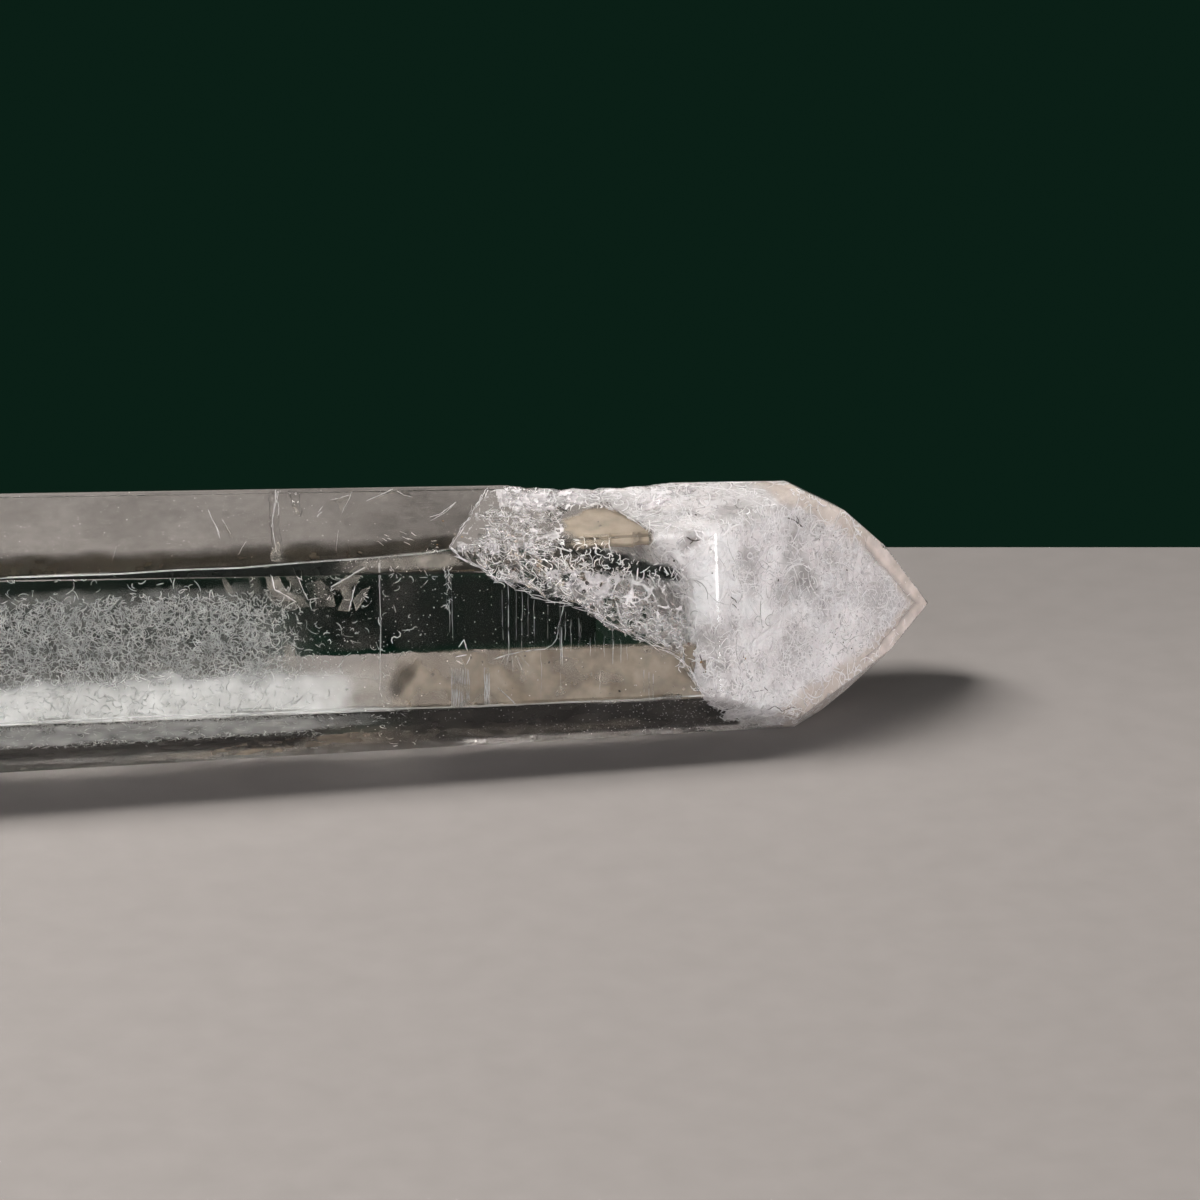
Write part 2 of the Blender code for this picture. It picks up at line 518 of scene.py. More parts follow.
def double_sheet(name, front, rear, keep, material, smooth=True, hollow=False, cover=None):
    """A thin closed sheet from two grids of points (rows, columns, 3). keep says which cells
    of the grid are there. A hollow sheet faces inward, so it is a gap in the crystal. cover
    is noted on its points, and says how much of the light it stops there."""
    rows, cols, _ = front.shape
    i, j = np.nonzero(keep)
    a = i * cols + j
    quads = np.stack([a, a + cols, a + cols + 1, a + 1], axis=1)
    edges = np.concatenate([quads[:, [k, (k + 1) % 4]] for k in range(4)])
    key = np.sort(edges, axis=1)
    _, inverse, counts = np.unique(key[:, 0] * rows * cols + key[:, 1], return_inverse=True, return_counts=True)
    rim = edges[counts[inverse.ravel()] == 1]
    shift = rows * cols
    walls = np.stack([rim[:, 1], rim[:, 0], rim[:, 0] + shift, rim[:, 1] + shift], axis=1)
    all_quads = np.concatenate([quads, quads[:, ::-1] + shift, walls])
    points = np.concatenate([front.reshape(-1, 3), rear.reshape(-1, 3)])
    used, renumber = np.unique(all_quads, return_inverse=True)
    all_quads = renumber.reshape(-1, 4)
    if hollow:
        all_quads = all_quads[:, ::-1]
    obj = mesh_piece(name, points[used], np.zeros((0, 3)), material, smooth, all_quads)
    if cover is not None:
        note(obj, "cover", np.concatenate([cover.ravel(), cover.ravel()])[used])
    return obj


def sheet_normals(grid):
    return unit(np.cross(np.gradient(grid, axis=0), np.gradient(grid, axis=1)))


# ---------------------------------------------------------------- materials of what is sealed inside
def tinted(name, pale, dark, size, roughness=0.5, specular=0.15, low=0.35, high=0.65, detail=4.0):
    """A Principled material whose colour drifts between two tones in patches of a size."""
    mat, tree, bsdf = nodes_of(name)
    where = tree.nodes.new("ShaderNodeTexCoord")
    patch = tree.nodes.new("ShaderNodeTexNoise")
    patch.inputs["Scale"].default_value = 1.0 / size
    patch.inputs["Detail"].default_value = detail
    ramp = tree.nodes.new("ShaderNodeValToRGB")
    ramp.color_ramp.elements[0].position = low
    ramp.color_ramp.elements[0].color = (*dark, 1)
    ramp.color_ramp.elements[1].position = high
    ramp.color_ramp.elements[1].color = (*pale, 1)
    tree.links.new(where.outputs["Object"], patch.inputs["Vector"])
    tree.links.new(patch.outputs["Fac"], ramp.inputs["Fac"])
    tree.links.new(ramp.outputs["Color"], bsdf.inputs["Base Color"])
    bsdf.inputs["Roughness"].default_value = roughness
    bsdf.inputs["Specular IOR Level"].default_value = specular
    return mat, tree, bsdf


def see_through(tree, bsdf, size, least, most, low=0.35, high=0.65, detail=3.0, fade=None, noted=False):
    """Makes a material partly clear, in patches of a size, between two shares of cover. fade
    is the places along the crystal where it begins to show and where it is whole. noted
    multiplies it by the cover noted on the mesh."""
    where = tree.nodes.new("ShaderNodeTexCoord")
    patch = tree.nodes.new("ShaderNodeTexNoise")
    patch.inputs["Scale"].default_value = 1.0 / size
    patch.inputs["Detail"].default_value = detail
    span = tree.nodes.new("ShaderNodeMapRange")
    span.inputs["From Min"].default_value = low
    span.inputs["From Max"].default_value = high
    span.inputs["To Min"].default_value = least
    span.inputs["To Max"].default_value = most
    tree.links.new(where.outputs["Object"], patch.inputs["Vector"])
    tree.links.new(patch.outputs["Fac"], span.inputs["Value"])
    if noted:
        cover = tree.nodes.new("ShaderNodeAttribute")
        cover.attribute_name = "cover"
        both = tree.nodes.new("ShaderNodeMath")
        both.operation = "MULTIPLY"
        tree.links.new(span.outputs["Result"], both.inputs[0])
        tree.links.new(cover.outputs["Fac"], both.inputs[1])
        tree.links.new(both.outputs["Value"], bsdf.inputs["Alpha"])
        return
    if fade is None:
        tree.links.new(span.outputs["Result"], bsdf.inputs["Alpha"])
        return
    apart = tree.nodes.new("ShaderNodeSeparateXYZ")
    ease = tree.nodes.new("ShaderNodeMapRange")
    ease.inputs["From Min"].default_value = fade[0]
    ease.inputs["From Max"].default_value = fade[1]
    times = tree.nodes.new("ShaderNodeMath")
    times.operation = "MULTIPLY"
    tree.links.new(where.outputs["Object"], apart.inputs["Vector"])
    tree.links.new(apart.outputs["X"], ease.inputs["Value"])
    tree.links.new(span.outputs["Result"], times.inputs[0])
    tree.links.new(ease.outputs["Result"], times.inputs[1])
    tree.links.new(times.outputs["Value"], bsdf.inputs["Alpha"])


# milky quartz: translucent, with pale and grey curling lines, and a warmer, clearer rim
def link(tree, output, target):
    tree.links.new(output, target)


def curls(tree, vector, size, detail, warp, width, level=0.5):
    """A node output that is 1 on the contour lines of a noise and 0 away from them."""
    field = tree.nodes.new("ShaderNodeTexNoise")
    field.inputs["Scale"].default_value = 1.0 / size
    field.inputs["Detail"].default_value = detail
    field.inputs["Distortion"].default_value = warp
    away = tree.nodes.new("ShaderNodeMath")
    away.operation = "SUBTRACT"
    away.inputs[1].default_value = level
    size_of = tree.nodes.new("ShaderNodeMath")
    size_of.operation = "ABSOLUTE"
    line = tree.nodes.new("ShaderNodeMapRange")
    line.interpolation_type = "SMOOTHSTEP"
    line.inputs["From Min"].default_value = 0.0
    line.inputs["From Max"].default_value = width
    line.inputs["To Min"].default_value = 1.0
    line.inputs["To Max"].default_value = 0.0
    link(tree, vector, field.inputs["Vector"])
    link(tree, field.outputs["Fac"], away.inputs[0])
    link(tree, away.outputs["Value"], size_of.inputs[0])
    link(tree, size_of.outputs["Value"], line.inputs["Value"])
    return line.outputs["Result"]


def blend(tree, share, below, above, strength=1.0):
    """Mixes a colour over another one by a share."""
    mix = tree.nodes.new("ShaderNodeMix")
    mix.data_type = "RGBA"
    times = tree.nodes.new("ShaderNodeMath")
    times.operation = "MULTIPLY"
    times.inputs[1].default_value = strength
    link(tree, share, times.inputs[0])
    link(tree, times.outputs["Value"], mix.inputs["Factor"])
    link(tree, below, mix.inputs["A"])
    mix.inputs["B"].default_value = (*above, 1.0)
    return mix.outputs["Result"]


milk, tree, bsdf = nodes_of("milky_quartz")
where = tree.nodes.new("ShaderNodeTexCoord")
cloudy = tree.nodes.new("ShaderNodeTexNoise")
cloudy.inputs["Scale"].default_value = 190.0
cloudy.inputs["Detail"].default_value = 5.0
cloudy.inputs["Roughness"].default_value = 0.6
cloudy_ramp = tree.nodes.new("ShaderNodeValToRGB")
cloudy_ramp.color_ramp.elements[0].position = 0.37
cloudy_ramp.color_ramp.elements[0].color = (0.56, 0.535, 0.535, 1)
cloudy_ramp.color_ramp.elements[1].position = 0.60
cloudy_ramp.color_ramp.elements[1].color = (0.97, 0.925, 0.93, 1)
tree.links.new(where.outputs["Object"], cloudy.inputs["Vector"])
tree.links.new(cloudy.outputs["Fac"], cloudy_ramp.inputs["Fac"])
colour = cloudy_ramp.outputs["Color"]
colour = blend(tree, curls(tree, where.outputs["Object"], 0.0016, 1.5, 1.2, 0.030), colour, (0.36, 0.34, 0.34), 0.85)
colour = blend(tree, curls(tree, where.outputs["Object"], 0.0021, 2.0, 1.6, 0.028, 0.46), colour, (1.0, 0.985, 0.985), 0.95)
colour = blend(tree, curls(tree, where.outputs["Object"], 0.0011, 1.0, 1.4, 0.034, 0.54), colour, (1.0, 0.985, 0.985), 0.80)
# pale and grey patches noted on the mesh; the grey near the top face is painted shade
for label, tone, much in (("pale", (1.0, 0.99, 0.99), 0.80), ("grey", (0.37, 0.35, 0.34), 0.85), ("rim", (0.60, 0.515, 0.455), 0.80)):
    noted = tree.nodes.new("ShaderNodeAttribute")
    noted.attribute_name = label
    colour = blend(tree, noted.outputs["Fac"], colour, tone, much)
tree.links.new(colour, bsdf.inputs["Base Color"])
bsdf.inputs["Roughness"].default_value = 0.4
bsdf.inputs["Specular IOR Level"].default_value = 0.2
bsdf.inputs["Subsurface Weight"].default_value = 0.40
bsdf.inputs["Subsurface Radius"].default_value = (1.0, 0.93, 0.91)
bsdf.inputs["Subsurface Scale"].default_value = 0.008

frost, _, _ = tinted("frosted_threads", (1.0, 1.0, 0.98), (0.50, 0.51, 0.50), 0.0010)
pure, _, _ = tinted("white_threads", (1.0, 0.98, 0.98), (0.90, 0.88, 0.88), 0.002)
grey_wisp, _, _ = tinted("grey_wisps", (0.62, 0.60, 0.58), (0.40, 0.385, 0.375), 0.002)
white_veil, _, _ = tinted("white_veil", (0.97, 0.94, 0.95), (0.84, 0.81, 0.82), 0.0015)
dark_speck, _, _ = tinted("dark_specks", (0.10, 0.085, 0.07), (0.03, 0.027, 0.025), 0.0005)
rust_speck, _, _ = tinted("rusty_specks", (0.42, 0.25, 0.10), (0.22, 0.12, 0.05), 0.0005)
thin_veil, tree, bsdf = tinted("thin_veil", (0.97, 0.93, 0.94), (0.86, 0.82, 0.83), 0.002)
see_through(tree, bsdf, 0.0012, 0.15, 0.75)
faint, tree, bsdf = tinted("growth_lines", (0.90, 0.92, 0.95), (0.60, 0.62, 0.64), 0.0012)
see_through(tree, bsdf, 0.0018, 0.12, 0.85)
haze, tree, bsdf = tinted("pale_haze", (0.98, 0.98, 0.96), (0.90, 0.90, 0.88), 0.004)
see_through(tree, bsdf, 0.0025, 0.70, 1.0, noted=True)
# dark film for painted shade, where shadowed ground shows through the lower face
film_shade, tree, bsdf = tinted("lower_face_shade", (0.075, 0.068, 0.060), (0.030, 0.028, 0.025), 0.004)
see_through(tree, bsdf, 0.005, 0.88, 1.0, noted=True)
# warm tan film; on the lower front strip it also serves as painted shade
tan, tree, bsdf = tinted("tan_film", (0.46, 0.39, 0.31), (0.25, 0.20, 0.15), 0.0028)
see_through(tree, bsdf, 0.003, 0.50, 0.85, noted=True)
# tan film; in the tan patch it is painted light, where the lit ground shows through the top face
tan_clear, tree, bsdf = tinted("tan_patch", (0.56, 0.47, 0.37), (0.36, 0.30, 0.235), 0.004)
see_through(tree, bsdf, 0.003, 0.45, 0.80, noted=True)
deep_shade, tree, bsdf = tinted("deep_shade", (0.014, 0.016, 0.013), (0.006, 0.007, 0.006), 0.004)
see_through(tree, bsdf, 0.003, 0.85, 1.0, noted=True)
apex_milk, tree, bsdf = tinted("apex_milk", (0.80, 0.72, 0.68), (0.66, 0.58, 0.53), 0.002)
see_through(tree, bsdf, 0.0014, 0.72, 1.0, noted=True)
# dark greenish film for painted shade, where the dark surround shows through
streak_shade, tree, bsdf = tinted("dark_streak", (0.025, 0.032, 0.026), (0.009, 0.012, 0.010), 0.003)
see_through(tree, bsdf, 0.0025, 0.80, 1.0, noted=True)
shade, tree, bsdf = tinted("brown_shade", (0.042, 0.032, 0.022), (0.022, 0.016, 0.011), 0.004)
see_through(tree, bsdf, 0.0012, 0.75, 1.0, noted=True)
grey_cloud, tree, bsdf = tinted("grey_cloud", (0.11, 0.10, 0.09), (0.05, 0.047, 0.042), 0.003)
see_through(tree, bsdf, 0.002, 0.6, 1.0, noted=True)
grey_haze, tree, bsdf = tinted("grey_haze", (0.46, 0.46, 0.44), (0.27, 0.27, 0.255), 0.003)
see_through(tree, bsdf, 0.002, 0.7, 1.0, noted=True)
blade, tree, bsdf = tinted("pale_blades", (0.62, 0.57, 0.50), (0.34, 0.31, 0.27), 0.0014)
see_through(tree, bsdf, 0.002, 0.70, 1.0, noted=True)

gap, tree, bsdf = nodes_of("healed_gap")
bsdf.inputs["Base Color"].default_value = (1.0, 1.0, 1.0, 1.0)
bsdf.inputs["Roughness"].default_value = 0.02
bsdf.inputs["IOR"].default_value = INDEX
bsdf.inputs["Transmission Weight"].default_value = 1.0


# ---------------------------------------------------------------- the milky end
def cut_solid(planes):
    """A convex solid from (normal, reach) planes, as a bmesh."""
    bm = bmesh.new()
    bmesh.ops.create_cube(bm, size=0.3)
    for n, d in planes:
        cut = bmesh.ops.bisect_plane(bm, geom=bm.verts[:] + bm.edges[:] + bm.faces[:], dist=1e-7,
                                     plane_co=Vector(n) * float(d), plane_no=Vector(n), clear_outer=True)
        rim = [g for g in cut["geom_cut"] if isinstance(g, bmesh.types.BMEdge)]
        if rim:
            bmesh.ops.edgeloop_fill(bm, edges=rim)
    bmesh.ops.recalc_face_normals(bm, faces=bm.faces[:])
    return bm


def to_mesh(bm, name):
    mesh = bpy.data.meshes.new(name)
    bm.to_mesh(mesh)
    bm.free()
    return mesh


def remeshed(meshes, voxel, name):
    """Points and faces of the voxel remesh of several closed meshes joined together."""
    bm = bmesh.new()
    for m in meshes:
        bm.from_mesh(m)
    mesh = to_mesh(bm, name)
    obj = bpy.data.objects.new(name, mesh)
    scene.collection.objects.link(obj)
    mod = obj.modifiers.new("remesh", "REMESH")
    mod.mode = "VOXEL"
    mod.voxel_size = voxel
    shaped = obj.evaluated_get(bpy.context.evaluated_depsgraph_get()).to_mesh()
    points = np.empty(len(shaped.vertices) * 3)
    normals = np.empty(len(shaped.vertices) * 3)
    shaped.vertices.foreach_get("co", points)
    shaped.vertices.foreach_get("normal", normals)
    quads = np.array([tuple(p.vertices) for p in shaped.polygons if len(p.vertices) == 4], np.int32).reshape(-1, 4)
    tris = np.array([tuple(p.vertices) for p in shaped.polygons if len(p.vertices) == 3], np.int32).reshape(-1, 3)
    bpy.data.objects.remove(obj)
    for m in (*meshes, mesh):
        bpy.data.meshes.remove(m)
    return points.reshape(-1, 3), normals.reshape(-1, 3), tris, quads


def held_in(points, margin):
    """Points pushed back so that none is nearer to the surface than a margin."""
    shape = points.shape
    points = points.reshape(-1, 3)
    for _ in range(3):
        over = points @ NORMALS.T - REACHES + margin
        worst = over.argmax(axis=1)
        amount = np.maximum(over[np.arange(len(points)), worst], 0.0)
        points = points - NORMALS[worst] * amount[:, None]
        points = points - DIP_UP * np.maximum(over_dip(points) + margin, 0.0)[:, None]
    return points.reshape(shape)


inset = np.array([0.40, 0.45, 0.45, 0.5, 0.5, 0.5, 0.40, 0.28, 0.28, 0.28, 0.28, 0.28, 0.28, 0.28, 1.0]) * MM
shell = [(n, d - i) for n, d, i in zip(NORMALS, REACHES, inset)]
boundary = unit(np.array([0.794, 0.373, 0.481]))
core = to_mesh(cut_solid(shell + [(-boundary, -0.0262)]), "core")
crest_plane = unit(np.array([0.0, 0.50, 0.866]))
crest = to_mesh(cut_solid(shell + [(-crest_plane, -0.0200), (np.array([-1.0, 0.0, 0.0]), -0.0130),
                                   (np.array([1.0, 0.0, 0.0]), 0.034)]), "crest")
skirt_plane = unit(np.array([0.834, -0.186, 0.520]))
skirt = to_mesh(cut_solid(shell + [(-skirt_plane, -0.02856), (np.array([-1.0, 0.0, 0.0]), -0.0262),
                                   (np.array([0.0, 1.0, 0.0]), -0.0055)]), "skirt")
points, normals, tris, quads = remeshed([core, crest, skirt], 0.00034, "milk")
bump = 0.75 * swell(points, 0.0035, 3) + 0.45 * swell(points, 0.0014, 4) + 0.2 * swell(points, 0.0006, 5) - 0.15
near, second, _ = cells(points, 0.0015, 9)
bump = bump + 0.45 * (second - near)
apex = np.array([points[:, 0].max(), -0.0052, 0.0])
apex[2] = points[points[:, 0].argmax()][2]
apex[1] = points[points[:, 0].argmax()][1]
bump = bump * (0.15 + 0.85 * step(0.001, 0.009, np.linalg.norm(points - apex, axis=1)))
points = held_in(points + normals * (bump * MM)[:, None], 0.00022)
milky_core = mesh_piece("milky_core", points, tris, milk, True, quads)
core_points, core_normals = points, normals


def mark_rim(obj, points):
    """Notes on each vertex how close it is to the faces round the point, and where the milk is whitest and greyest.
    Near the top face the milk is made greyer, as painted shade."""
    pale = np.zeros(len(points))
    for px, py, reach, much in ((718, 560, 2.6, 1.0), (730, 590, 2.0, 0.8), (765, 628, 2.2, 0.9), (742, 610, 1.6, 0.5),
                                (700, 605, 1.8, 0.6), (800, 610, 2.2, 0.4), (770, 690, 2.0, 0.5), (660, 500, 2.0, 0.3),
                                (693, 540, 0.7, -1.6), (684, 545, 0.5, -1.2), (793, 540, 1.2, -0.8), (803, 570, 1.5, -0.9),
                                (830, 560, 1.4, -0.5), (797, 522, 0.6, -1.2), (748, 575, 0.9, -0.5), (782, 590, 1.6, -0.4),
                                (715, 640, 1.4, -0.6), (760, 665, 1.4, -0.5), (735, 515, 2.4, -0.3), (742, 556, 1.1, -0.7),
                                (786, 556, 0.9, -0.8), (812, 586, 1.1, -0.8), (790, 640, 1.2, -0.6), (736, 622, 0.8, -0.6),
                                (728, 545, 1.3, 0.8), (762, 602, 1.1, 0.8), (748, 640, 1.0, 0.7), (822, 628, 1.2, 0.5)):
        at = spot(px, py, depth=0.6)
        pale += much * np.exp(-((points - at) ** 2).sum(axis=1) / (reach * MM) ** 2)
    pale = 1.25 * pale * (1.0 + 0.6 * swell(points, 0.0012, 78)) + 0.22 * swell(points, 0.0021, 79)
    # painted shade: the milk is made greyer near the top face, which the key lamp lights most
    pale -= 0.42 * (1.0 - step(0.5, 2.2, (REACHES[TOP] - points @ NORMALS[TOP]) / MM))
    note(obj, "pale", np.clip(pale, 0.0, 1.0))
    note(obj, "grey", np.clip(-pale, 0.0, 1.0))
    nearest = (REACHES[7:14] - points @ NORMALS[7:14].T).min(axis=1) / MM
    ragged = nearest + 0.5 * swell(points, 0.0016, 77)
    note(obj, "rim", 1.0 - step(1.2, 2.4, ragged))


mark_rim(milky_core, np.array([v.co for v in milky_core.data.vertices]))

# ---------------------------------------------------------------- the healed fracture
trace = [(424, 543), (455, 556), (490, 574), (535, 593), (573, 605), (602, 619), (627, 633), (650, 643), (674, 655),
         (690, 672), (700, 691)]
trace = np.array(trace, float)
run = np.concatenate([[0.0], np.cumsum(np.linalg.norm(np.diff(trace, axis=0), axis=1))])
steps_s = np.linspace(0, run[-1], 200)
trace_px = np.stack([np.interp(steps_s, run, trace[:, 0]), np.interp(steps_s, run, trace[:, 1])], axis=1)
front_line, _, _ = enter(trace_px[:, 0], np.maximum(trace_px[:, 1], 553))
front_line[0] = 2 * front_line[1] - front_line[2]
for _ in range(6):
    front_line[1:-1] = 0.25 * front_line[:-2] + 0.5 * front_line[1:-1] + 0.25 * front_line[2:]
into = unit(np.array([0.50, 0.85, 0.19]))
steps_t = np.linspace(-0.0008, 0.0262, 150)
grid = front_line[:, None] + steps_t[None, :, None] * into
grid[..., 2] += 0.0008 * np.sin(steps_t * 210.0)[None, :]
facing = sheet_normals(grid)
lift = 0.50 * swell(grid, 0.0034, 21) + 0.30 * swell(grid, 0.0013, 22) + 0.10 * swell(grid, 0.0005, 23)
warped = grid + 0.0009 * np.stack([swell(grid, 0.0016, 61), swell(grid, 0.0016, 62), swell(grid, 0.0016, 63)], axis=-1)
near, second, tag = cells(warped, 0.0021, 31)
lift = lift + 0.42 * (second - near) * np.where(tag > 0.5, 1.0, -0.8)
near, second, tag = cells(warped, 0.0009, 35)
lift = lift + 0.12 * (second - near) * np.where(tag > 0.4, 1.0, -0.8)
grid = grid + facing * (lift * MM)[..., None]
width = 0.055 + 0.05 * swell(grid, 0.0009, 41)
front_side = grid + facing * (np.maximum(width, 0.012) * 0.5 * MM)[..., None]
rear_side = grid - facing * (np.maximum(width, 0.012) * 0.5 * MM)[..., None]
safe = (np.maximum(outside(front_side), outside(rear_side)) < -0.00005)
px_now = trace_px[:, 0][:, None] + 0.0 * steps_t[None]
reach_in = 0.0072 + 0.0188 * step(535.0, 490.0, px_now) + 0.0025 * swell(grid, 0.003, 51)
there = (steps_t[None] < reach_in) & (swell(grid, 0.0022, 52) > -0.66)
vertex_ok = safe & there
keep = vertex_ok[:-1, :-1] & vertex_ok[1:, :-1] & vertex_ok[:-1, 1:] & vertex_ok[1:, 1:]
fracture = double_sheet("healed_fracture", front_side, rear_side, keep, gap, True, hollow=True)
fracture_points = grid[vertex_ok]
fracture_normals = facing[vertex_ok]


# ---------------------------------------------------------------- veils placed by the view
def within(polygon, x, y):
    polygon = np.asarray(polygon, float)
    inside = np.zeros(np.shape(x), bool)
    for (x0, y0), (x1, y1) in zip(polygon, np.roll(polygon, -1, axis=0)):
        crosses = (y0 > y) != (y1 > y)
        at = x0 + (y - y0) / np.where(y1 == y0, 1e-9, y1 - y0) * (x1 - x0)
        inside ^= crosses & (x < at)
    return inside


def border(polygon, x, y):
    """Distance in pixels to the outline of a polygon."""
    polygon = np.asarray(polygon, float)
    best = np.full(np.shape(x), 1e9)
    for (x0, y0), (x1, y1) in zip(polygon, np.roll(polygon, -1, axis=0)):
        ex, ey = x1 - x0, y1 - y0
        t = np.clip(((x - x0) * ex + (y - y0) * ey) / max(ex * ex + ey * ey, 1e-9), 0.0, 1.0)
        best = np.minimum(best, np.hypot(x - x0 - t * ex, y - y0 - t * ey))
    return best


def upper_line(x):
    return np.interp(x, [-140, 5, 60, 120, 180, 240, 300, 360, 420, 447, 700], [586, 577, 575, 573, 569, 567, 562, 558, 553, 549, 534])


def lower_line(x):
    return np.interp(x, [-140, 5, 120, 240, 360, 480, 560, 640, 700, 745], [730, 724, 718, 714, 710, 707, 703, 700, 696, 693])


def veil(name, polygon, depth, material, spacing=1.6, relief=0.25, size=0.0012, seed=0, thick=0.05,
         hole=None, hollow=False, ragged=3.0, tilt=(0.0, 0.0), soft=None, cover=None):
    """A crumpled thin sheet behind an outline in the photograph, at a depth in millimetres.
    hole is (size, share, wall) of what is missing; ragged moves the outline by pixels. soft
    is how many pixels inside the outline the sheet reaches its whole strength, and cover is
    a function of the pixel, the distance to the outline and the place that sets it."""
    polygon = np.asarray(polygon, float)
    low, high = polygon.min(axis=0) - 4, polygon.max(axis=0) + 4
    xs = np.arange(low[0], high[0], spacing)
    ys = np.arange(low[1], high[1], spacing)
    x, y = np.meshgrid(xs, ys, indexing="ij")
    base = spot(x, y, depth=depth)
    jx = x + ragged * swell(base, 0.0012, seed + 1)
    jy = y + ragged * swell(base, 0.0012, seed + 2)
    keep = within(polygon, jx, jy)
    if hole is not None:
        warped = base + 0.0007 * np.stack([swell(base, 0.0015, seed + 11 + k) for k in range(3)], axis=-1)
        near, second, tag = cells(warped, hole[0], seed + 7)
        keep &= ~((second - near > hole[2]) & (tag < hole[1]))
    ripple = (relief * swell(base, size, seed + 3) + 0.5 * relief * swell(base, size * 0.45, seed + 4)
              + tilt[0] * (x - x.mean()) / 100.0 + tilt[1] * (y - y.mean()) / 100.0)
    ripple = np.maximum(ripple, 0.12 - depth)
    front = spot(x, y, depth=depth + ripple)
    rear = spot(x, y, depth=depth + ripple + thick * (1.0 + 0.5 * swell(base, size * 0.7, seed + 5)))
    safe = (outside(front) < -0.00006) & (outside(rear) < -0.00006)
    ok = keep & safe
    cells_ok = ok[:-1, :-1] & ok[1:, :-1] & ok[:-1, 1:] & ok[1:, 1:]
    if not cells_ok.any():
        return None
    share = None
    if soft is not None or cover is not None:
        rim = border(polygon, jx, jy)
        share = np.ones_like(x) if soft is None else step(0.0, soft, rim)
        if cover is not None:
            share = share * cover(x, y, rim, base)
    return double_sheet(name, front, rear, cells_ok, material, True, hollow, share)


def band(name, high, low, start, end, columns, rows, depth, material, cover):
    """A thin film between two lines of the photograph, each a function of x. cover is a
    function of x, of how far down the band it is (0 to 1), and of the place."""
    x, v = np.meshgrid(np.linspace(start, end, columns), np.linspace(0.0, 1.0, rows), indexing="ij")
    y = high(x) + (low(x) - high(x)) * v
    base = spot(x, y, depth=depth)
    front = spot(x, y, depth=depth + 0.03 * swell(base, 0.003, 5))
    rear = spot(x, y, depth=depth + 0.05 + 0.03 * swell(base, 0.003, 5))
    ok = (outside(front) < -0.00004) & (outside(rear) < -0.00004)
    keep = ok[:-1, :-1] & ok[1:, :-1] & ok[:-1, 1:] & ok[1:, 1:]
    return double_sheet(name, front, rear, keep, material, True, False, np.clip(cover(x, v, base), 0.0, 1.0))


# lace and lobe in front of the dark part, and a crumpled gap over them
veil("lace", [(596, 572), (640, 572), (668, 580), (688, 596), (692, 640), (676, 648), (640, 632), (604, 612), (590, 594)],
     2.6, white_veil, relief=0.45, size=0.0010, seed=70, hole=(0.0012, 1.01, 0.13), spacing=0.8)
veil("lobe", [(546, 574), (566, 568), (592, 570), (612, 578), (610, 594), (590, 606), (566, 600), (548, 590)],
     1.6, thin_veil, relief=0.35, size=0.0009, seed=80, spacing=0.8, hole=(0.0010, 0.55, 0.25))
veil("crest_veil", [(492, 487), (560, 489), (640, 487), (700, 482), (690, 500), (640, 512), (575, 506), (540, 512), (500, 508)],
     1.0, thin_veil, relief=0.5, size=0.0012, seed=100)

veil("lace_top", [(492, 488), (520, 490), (560, 494), (566, 520), (562, 540), (530, 552), (500, 556), (480, 552), (456, 549), (452, 546), (470, 516)],
     0.8, thin_veil, relief=0.40, size=0.0009, seed=71, hole=(0.0012, 0.96, 0.12), spacing=0.8)
veil("lace_crest", [(500, 488), (600, 489), (690, 484), (690, 500), (640, 508), (560, 508), (500, 506)],
     0.6, white_veil, relief=0.35, size=0.0008, seed=72, hole=(0.0010, 0.92, 0.13), spacing=0.8)
# painted light: a tan film where the lit ground shows through the top face
veil("tan_patch", [(560, 514), (600, 503), (632, 508), (648, 521), (655, 539), (640, 549), (612, 548), (576, 544), (560, 534)],
     2.0, tan_clear, relief=0.15, size=0.002, seed=73, ragged=4.0, soft=7.0)
# painted shade: a dark greenish film where the dark surround shows through the crystal
veil("dark_streak", [(556, 545), (580, 541), (612, 547), (648, 557), (676, 566), (688, 580), (660, 584), (622, 577), (592, 569), (562, 558)],
     1.7, streak_shade, relief=0.2, size=0.0015, seed=74, ragged=5.0, soft=8.0,
     cover=lambda x, y, rim, base: np.clip(0.35 + 0.65 * step(585, 625, x) + 0.35 * swell(base, 0.0009, 90), 0.0, 1.0))

# darker, warmer films just under the faces. Most are painted light and shade: shadowed ground, lit ground and the dark
# surround as seen through the crystal; the pale lines along the edges are painted highlights


def top_cover(x, v, base):
    strip = step(0.66, 0.90, v + 0.05 * swell(base, 0.003, 91)) * (0.92 + 0.15 * step(120, 20, x))
    strip = strip * (1.0 - 0.8 * np.exp(-((x - 279) / 7.0) ** 2))
    body = 0.10 + 0.24 * step(200, 470, x) * (0.45 + 0.55 * v)
    body = body + 0.10 * np.maximum(swell(base, 0.004, 92), -0.5) + 0.06 * swell(base, 0.0007, 93)
    past = x - (489 - 41 * v)                        # the fracture's edge slants across the end
    return np.clip(np.maximum(body, strip), 0.0, 1.0) * step(1.5, -0.5, past)


def top_back_line(x):
    return np.interp(x, [-140, 5, 150, 300, 450, 490], [503, 496.2, 492.5, 489.2, 487.2, 487.6])


band("top_shade", top_back_line, lambda x: upper_line(x) - 0.6, -138, 491, 330, 34, 0.30, shade, top_cover)


def bright_line(x):
    return np.interp(x, [-140, 5, 206, 453], [584, 579, 576.2, 572.2])


